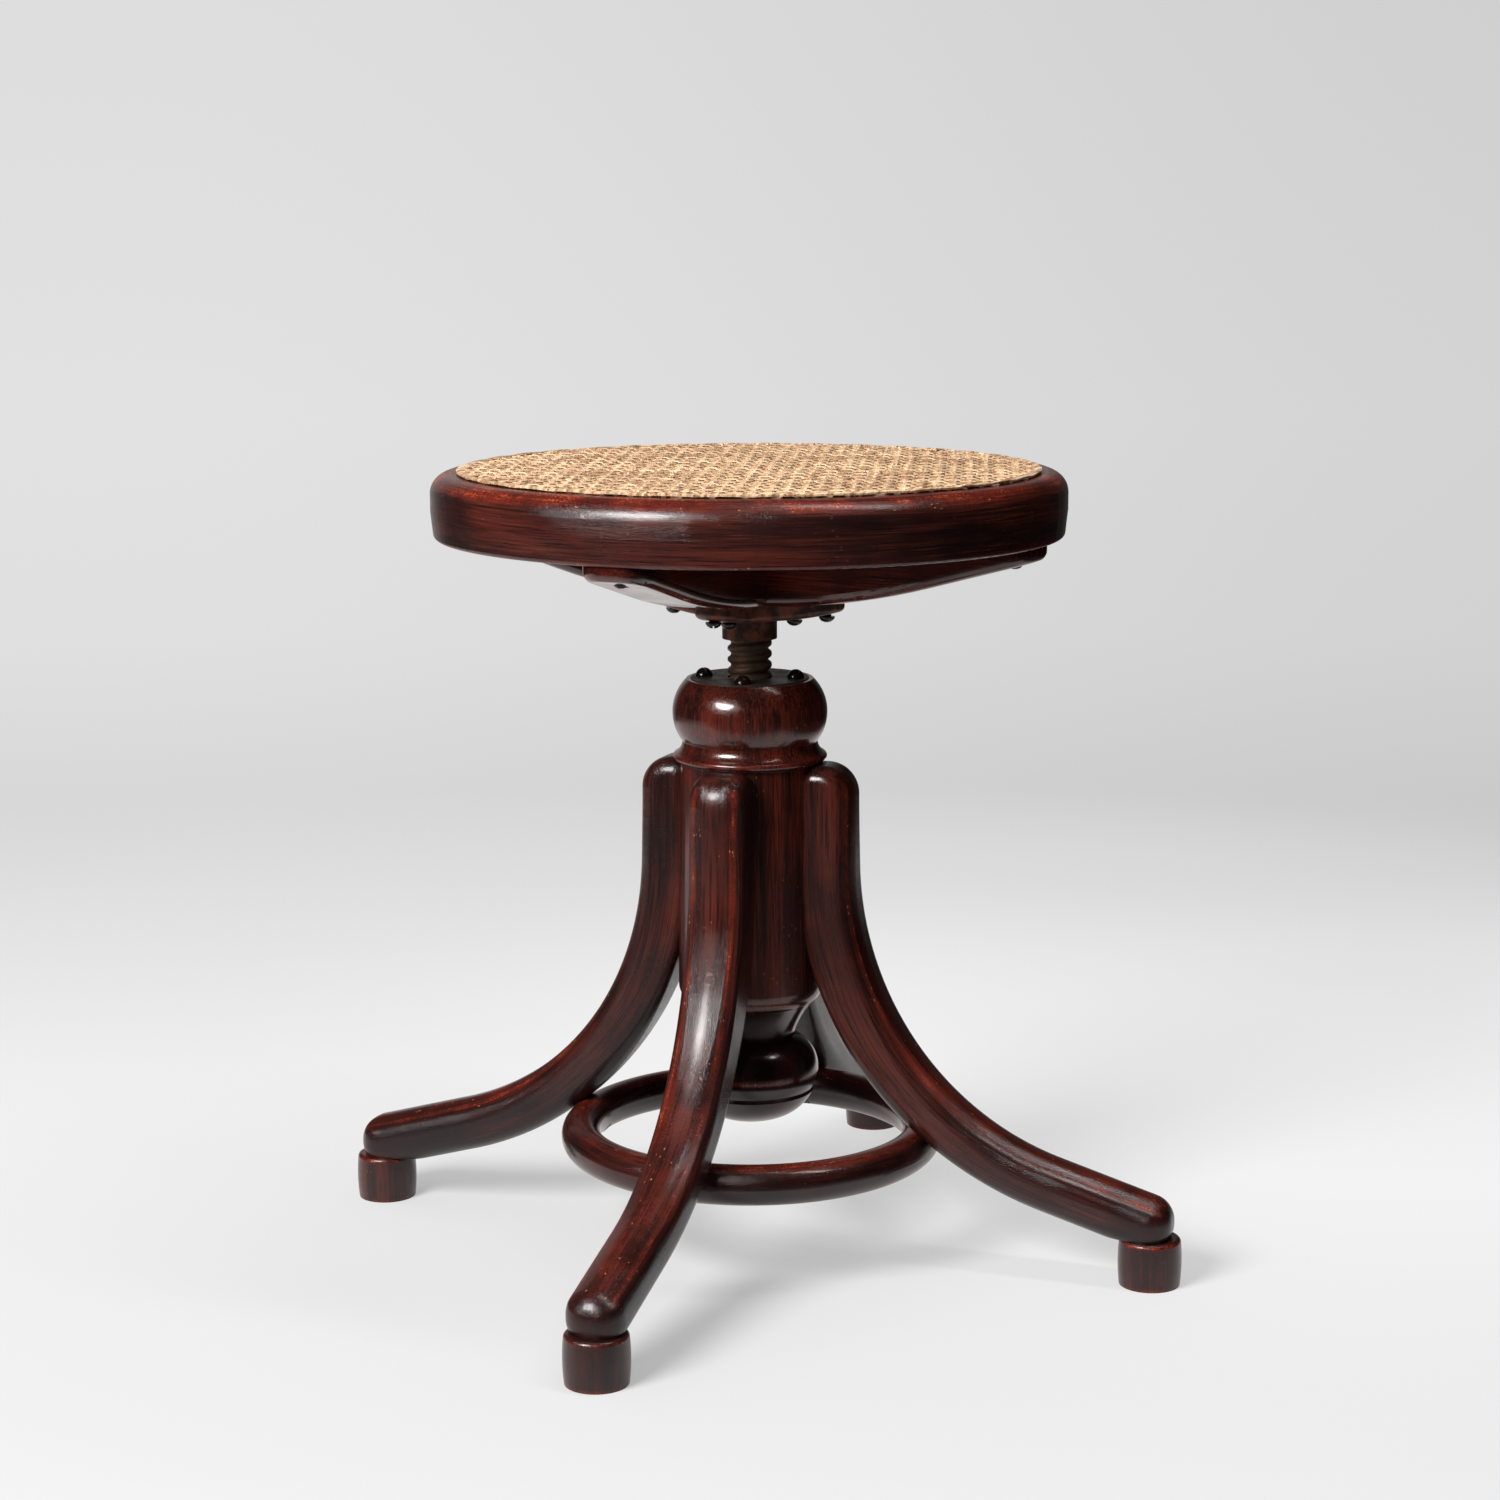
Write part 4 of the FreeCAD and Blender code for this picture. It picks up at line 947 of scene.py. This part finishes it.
def wrapped(piece, name, z):
    """Repeats a piece and wraps it round the seat."""
    repeated(piece, TIES, y=TIE_STEP)
    apply_all(piece)
    settle(piece, turn=(0, 0, -math.pi / 2), shift=(-BINDING_LENGTH / 2, 0, 0))
    modify(piece, "SIMPLE_DEFORM", deform_method="BEND", deform_axis="Z", angle=2 * math.pi)
    apply_all(piece)
    low, high = [Vector([limit(v.co[i] for v in piece.data.vertices) for i in range(3)])
                 for limit in (min, max)]
    middle = (low + high) / 2
    settle(piece, shift=(-middle.x, -middle.y, z))
    closed(piece, 2e-5)
    piece.name = piece.data.name = name
    print(name, "spans", [round(v, 4) for v in high - low])
    return piece


binding = wrapped(step, "cane_binding_strand", BINDING_Z)
ties = wrapped(tie, "cane_binding_ties", TIE_Z)
finished(binding, "seat", ["cane_binding"], cane("Cane binding", 0.0), 60)
finished(ties, "seat", [], cane("Cane ties", 0.0), 60)

# %% [markdown]
# ## The spindle
# The spindle is a coarse square-cut screw with worn, rounded crests, and it
# rises a quarter of an inch for each turn. One turn's outline is modelled as
# a line up the side, and the Screw modifier winds it round the axis while
# it climbs. The plain core is lathed by the same modifier without a climb.

# %% Outlines and winding
WINDING_STEPS = 48


def outline(name, points):
    """A line through (radius, height) points, extruded point by point."""
    piece = primitive(name, bpy.ops.mesh.primitive_plane_add, size=0.001)
    with edit_mode():
        bpy.ops.mesh.merge(type="CENTER")
        move(points[0][0], 0, points[0][1])
        for (r, z), (next_r, next_z) in zip(points, points[1:]):
            extrude(next_r - r, 0, next_z - z)
    return piece


def wound(piece, climb=0.0, turns=1):
    """Winds an outline round the Z axis."""
    modify(piece, "SCREW", axis="Z", angle=2 * math.pi, screw_offset=climb, iterations=turns,
           steps=WINDING_STEPS, render_steps=WINDING_STEPS, use_merge_vertices=True,
           merge_threshold=SAME_PLACE)
    apply_all(piece)
    closed(piece)
    return piece


print("an outline is wound in", WINDING_STEPS, "steps a turn")

# %% Threaded spindle
THREAD_LEAD = 0.00635
THREAD_CREST_R = 0.0127
THREAD_ROOT_R = 0.0108
THREAD_TURNS = 25
THREAD_TOP_Z = 0.3580
THREAD_END_Z = 0.2012
# The thread's shape is (part of the lead, part of the depth), the core's (radius, height) in metres
THREAD_SHAPE = [(0.0, 0.0), (0.10, 0.0), (0.22, 0.35), (0.32, 0.85), (0.42, 1.0), (0.62, 1.0),
                (0.72, 0.85), (0.82, 0.35), (0.94, 0.0), (1.0, 0.0)]
CORE_SHAPE = [(0.0, 0.1765), (0.0070, 0.1765), (0.0080, 0.1775), (0.0080, 0.1906), (0.0127, 0.1906),
              (0.0127, 0.2010), (0.0107, 0.2030), (0.0107, 0.3580), (0.0090, 0.3582), (0.0090, 0.3890),
              (0.0080, 0.3900), (0.0, 0.3900)]

thread_low_z = THREAD_TOP_Z - THREAD_LEAD * THREAD_TURNS
crest = [(THREAD_ROOT_R + high * (THREAD_CREST_R - THREAD_ROOT_R), thread_low_z + part * THREAD_LEAD)
         for part, high in THREAD_SHAPE]
thread = wound(outline("spindle_thread", crest), THREAD_LEAD, THREAD_TURNS)
core = wound(outline("spindle_core", CORE_SHAPE))
print("thread", len(thread.data.polygons), "core", len(core.data.polygons))
alone(thread)
with edit_mode():
    bpy.ops.mesh.bisect(plane_co=(0, 0, THREAD_TOP_Z + 0.0002), plane_no=(0, 0, 1), clear_outer=True)
    bpy.ops.mesh.select_all(action="SELECT")
    bpy.ops.mesh.bisect(plane_co=(0, 0, THREAD_END_Z), plane_no=(0, 0, 1), clear_inner=True)
spindle = joined([thread, core], "spindle_screw")
finished(spindle, "seat", ["spindle"], THREAD_STEEL, 50)

# %% [markdown]
# ## The screws
# Old wood screws have a domed head with one straight slot. A disc is
# extruded in steps that shrink, which makes the dome, and a thin box cut
# away by a Boolean makes the slot. The copies are turned to different
# angles, because no two screws stop alike.

# %% One round-head screw
DOME_ANGLES = 18, 38, 58, 76
SLOT_WIDTH = 0.0009
SLOT_DEPTH = 0.55
TIP_LENGTH = 0.2
TIP_NARROWING = 0.15


def round_head(name, radius, height, shank_radius, length):
    """A screw along Z: its head sits on z = 0 and points up, its tip points down."""
    piece = primitive(name, bpy.ops.mesh.primitive_circle_add, vertices=24, radius=radius, fill_type="NGON")
    with edit_mode():
        reached, at_radius = 0.0, radius
        for angle in DOME_ANGLES:
            rise = height * math.sin(math.radians(angle)) - reached
            shrink = radius * math.cos(math.radians(angle)) / at_radius
            extrude(0, 0, rise)
            bpy.ops.transform.resize(value=(shrink, shrink, 1))
            reached += rise
            at_radius *= shrink
        pick(piece, lambda co: co.z < 1e-7)
        bpy.ops.mesh.edge_face_add()
        bpy.ops.mesh.inset(thickness=radius - shank_radius)
        extrude(0, 0, -length * (1 - TIP_LENGTH))
        extrude(0, 0, -length * TIP_LENGTH)
        bpy.ops.transform.resize(value=(TIP_NARROWING, TIP_NARROWING, 1))
    closed(piece)
    blade = primitive("blade", bpy.ops.mesh.primitive_cube_add, size=1, location=(0, 0, height))
    blade.scale = (SLOT_WIDTH, radius * 3, height * 2 * SLOT_DEPTH)
    apply_place(blade)
    modify(piece, "BOOLEAN", object=blade, operation="DIFFERENCE", solver="EXACT")
    apply_all(piece)
    bpy.data.objects.remove(blade)
    return piece


def screw_set(name, body, node, sizes, places):
    """Copies of one screw at (position, head's direction, turn of the slot in degrees)."""
    one = round_head("one_of_" + name, *sizes)
    copies = []
    for number, (place, way, turn) in enumerate(places):
        copy = copied(one, name + str(number))
        facing = Vector(way).to_track_quat("Z", "Y").to_matrix().to_4x4()
        copy.matrix_world = Matrix.Translation(place) @ facing @ Matrix.Rotation(math.radians(turn), 4, "Z")
        apply_place(copy)
        copies.append(copy)
    bpy.data.objects.remove(one)
    finished(joined(copies, name), body, [node], SCREW_STEEL, 35)


def round_axis(radius, z, degrees):
    """A place round the stool's axis."""
    turn = math.radians(degrees)
    return Vector((radius * math.cos(turn), radius * math.sin(turn), z))


print("screw tools ready")

# %% Four sets of screws
UP = (0, 0, 1)
DOWN = (0, 0, -1)
# Of each screw: the head's radius and height, and the shank's radius and length
PLATE_SCREW = 0.0050, 0.0048, 0.0026, 0.0218
LOBE_SCREW = 0.0046, 0.0034, 0.0025, 0.0262
BAR_SCREW = 0.0040, 0.0024, 0.0022, 0.0286
RING_SCREW = 0.0046, 0.0024, 0.0024, 0.0338
# Where the heads sit: their distance from the axis, and their height
PLATE_SEAT = 0.0265, 0.3356
LOBE_SEATS = (0.028, 0.36977), (0.048, 0.37290)
BAR_SEAT = 0.160, 0.40732
RING_SEAT = Vector((0.09427, 0, 0.05767))
RING_SCREW_WAY = Vector((-0.6260, 0.0, -0.7798))

screw_set("plate_screws", "base", "nut_plate_screws", PLATE_SCREW, [
    (round_axis(*PLATE_SEAT, 11 + 90 * k), UP, turn) for k, turn in enumerate((44, 80, 36, 62))])
screw_set("lobe_screws", "seat", "flange_screws", LOBE_SCREW, [
    (round_axis(*seat, -5 + 90 * k), DOWN, 37 * k + 50 * row)
    for row, seat in enumerate(LOBE_SEATS) for k in range(4)])
screw_set("bar_screws", "seat", "cross_bar_screws", BAR_SCREW, [
    (round_axis(*BAR_SEAT, -5 + 90 * k), DOWN, 61 * k) for k in range(4)])
quarters = [Matrix.Rotation(math.radians(90 * k), 3, "Z") for k in range(4)]
screw_set("ring_heads", "base", "ring_screws", RING_SCREW, [
    (spin @ RING_SEAT, spin @ RING_SCREW_WAY, 45 * k + 10) for k, spin in enumerate(quarters)])

# %% [markdown]
# ## Floor, background and light
# The stool stands on a pale studio floor that runs softly into a pale wall.
# The floor is a wide disc that turns see-through towards its edge, and the
# world behind it has the wall's colour. Where the camera or a reflection sees
# the floor, it is partly its own light, which keeps its shadows as faint as
# they are in a white studio. The varnish mirrors a narrower paper than the
# camera sees, because the room round a real one is dark, and that is what
# makes dark wood look deep.

# %% Floor paper
FLOOR_FRONT = (0.338, -0.941, 0.0)
FLOOR_RIGHT = (0.941, 0.338, 0.0)
PAPER = (0.33, 0.33, 0.33, 1)
PAPER_BOUNCE = (0.35, 0.35, 0.35, 1)
DARK_ROOM = (0.03, 0.03, 0.03, 1)
FADE_R = 1.02, 1.45


def mixed_shader(tree, factor, a, b):
    """A mix of two shaders."""
    return add(tree, "MixShader", {0: factor, 1: a, 2: b}).outputs[0]


def diffuse(tree, color):
    """A matt shader of one colour."""
    return add(tree, "BsdfDiffuse", {"Color": color}).outputs[0]


def seen_rays(tree):
    """Light Path's outputs, and a mask of the rays that see: straight, mirrored or through glass."""
    path = add(tree, "LightPath").outputs
    return path, either(tree, path["Is Camera Ray"], path["Is Glossy Ray"], path["Is Transmission Ray"])


def floor_paper():
    """White paper for what sees it, and a plain grey for the light that it sends up."""
    material = bpy.data.materials.new("Studio floor")
    tree = emptied(material)
    place = add(tree, "TexCoord").outputs["Object"]
    right = vectors(tree, "DOT_PRODUCT", place, FLOOR_RIGHT)
    forward = vectors(tree, "DOT_PRODUCT", place, FLOOR_FRONT)
    # The floor's own light is painted unevenly: weaker in front, where the key light falls on the paper most,
    # and stronger towards the back and the right
    to_right = times(tree, ramp(tree, right, -0.5, 0.5, 0.0, 0.15), ramp(tree, forward, -1.0, -0.5))
    glow = sums(tree, "ADD", ramp(tree, forward, -0.4, 0.4, 0.415, 0.24), to_right)
    own = add(tree, "Emission", {"Strength": glow}).outputs[0]
    lit = add(tree, "AddShader", {0: diffuse(tree, PAPER), 1: own}).outputs[0]
    path, seen = seen_rays(tree)
    # Mirrored, the lit paper ends in front of the stool and to its right
    edge = either(tree, ramp(tree, forward, 0.20, 0.60), ramp(tree, right, 0.32, 0.60))
    mirrored = times(tree, edge, path["Is Glossy Ray"])
    both = mixed_shader(tree, mirrored, lit, diffuse(tree, DARK_ROOM))
    body = mixed_shader(tree, seen, diffuse(tree, PAPER_BOUNCE), both)
    fade = ramp(tree, vectors(tree, "LENGTH", place), *FADE_R)
    clear = add(tree, "BsdfTransparent").outputs[0]
    add(tree, "OutputMaterial", {"Surface": mixed_shader(tree, fade, body, clear)})
    return material


print("the paper fades out between", *FADE_R, "m")

# %% Floor
FLOOR_R = 2.2

floor = primitive("studio_floor", bpy.ops.mesh.primitive_circle_add, vertices=96, radius=FLOOR_R,
                  fill_type="NGON", location=(0, 0, 0))
with edit_mode():
    bpy.ops.mesh.inset(thickness=0.8)
floor.data.materials.append(floor_paper())
print("floor", FLOOR_R, "m")

# %% World
# The wall's grey on a screen by the height of a ray. It dips softly where the
# floor meets the wall, which is a painted shade
WALL_GREYS = [(-0.5, 228), (-0.24, 220), (-0.19, 210), (-0.14, 218), (-0.07, 220), (0.06, 216)]
ACROSS_VIEW = (math.cos(CAMERA_TURN), math.sin(CAMERA_TURN), 0)
INTO_VIEW = (-math.sin(CAMERA_TURN), math.cos(CAMERA_TURN), 0)
WHITE = (1.0, 1.0, 1.0, 1)


def wall_color(tree, height):
    """The wall's grey at a height."""
    spread = add(tree, "MapRange", {"Value": height, "From Min": -0.5, "From Max": 0.5}).outputs["Result"]
    wall = add(tree, "ValToRGB", {"Fac": spread})
    marks = wall.color_ramp.elements
    for number, (at, level) in enumerate(WALL_GREYS):
        mark = marks[number] if number < 2 else marks.new(at + 0.5)
        mark.position = at + 0.5
        mark.color = linear(level, level, level)
    return wall.outputs["Color"]


def studio_world():
    """The wall for what sees it, and a soft sky for the light that reaches the stool."""
    world = bpy.data.worlds.new("Studio")
    bpy.context.scene.world = world
    tree = emptied(world)
    way = add(tree, "TexCoord").outputs["Generated"]
    height = split(tree, way)["Z"]
    sideways = vectors(tree, "DOT_PRODUCT", way, ACROSS_VIEW)
    behind = vectors(tree, "DOT_PRODUCT", way, INTO_VIEW)
    # The wall is painted a little lighter on the left and darker on the right, a painted fall of light across
    # it
    dimmer = ramp(tree, sideways, -0.20, 0.30, 1.06, 0.91)
    wall = add(tree, "VectorMath", {0: wall_color(tree, height), "Scale": dimmer}, operation="SCALE")
    path, seen = seen_rays(tree)
    # Mirrored, the backdrop is as wide as a roll of paper, and the room beside it is dark
    paper = times(tree, ramp(tree, behind, 0.78, 0.99, 0.02, 0.6),
                  ramp(tree, sideways, -0.05, 0.30, 1.0, 0.15))
    mirrored = choose(tree, path["Is Glossy Ray"], paper, 1.0)
    seen_sky = add(tree, "Background", {"Color": wall.outputs[0], "Strength": mirrored}).outputs[0]
    above = times(tree, ramp(tree, height, -0.1, 0.9, 0.08, 0.75),
                  ramp(tree, sideways, -0.5, 0.5, 1.0, 0.4))
    light_sky = add(tree, "Background", {"Color": WHITE, "Strength": above}).outputs[0]
    add(tree, "OutputWorld", {"Surface": mixed_shader(tree, seen, light_sky, seen_sky)})


studio_world()
print("world ready")

# %% [markdown]
# ## Lamps
# A large soft box stands at the upper left in front of the stool and makes
# the broken highlights on its curves. A narrow strip hangs high on the right
# and draws a thin line of light along the top of the rim.

# %% Lamps
AIM = Vector((0.0, 0.0, 0.24))


def softbox(name, left, elevation, distance, width, height, power, shape="RECTANGLE"):
    """A soft box: degrees to the left of the camera, degrees above the horizon, metres, watts."""
    to_camera = math.atan2(CAMERA_AT.y, CAMERA_AT.x) - math.radians(left)
    rise = math.radians(elevation)
    way = Vector((math.cos(to_camera) * math.cos(rise), math.sin(to_camera) * math.cos(rise), math.sin(rise)))
    lamp = bpy.data.objects.new(name, bpy.data.lights.new(name, "AREA"))
    bpy.context.scene.collection.objects.link(lamp)
    lamp.data.shape = shape
    lamp.data.size = width
    lamp.data.size_y = height
    lamp.data.energy = power
    lamp.location = AIM + way * distance
    lamp.rotation_euler = way.to_track_quat("Z", "Y").to_euler()
    print(name, "at", [round(v, 2) for v in lamp.location], power, "W")


softbox("Key light", left=42, elevation=34, distance=2.0, width=0.95, height=0.8, power=64, shape="ELLIPSE")
softbox("Top light", left=-66, elevation=70, distance=2.0, width=0.2, height=1.1, power=11)
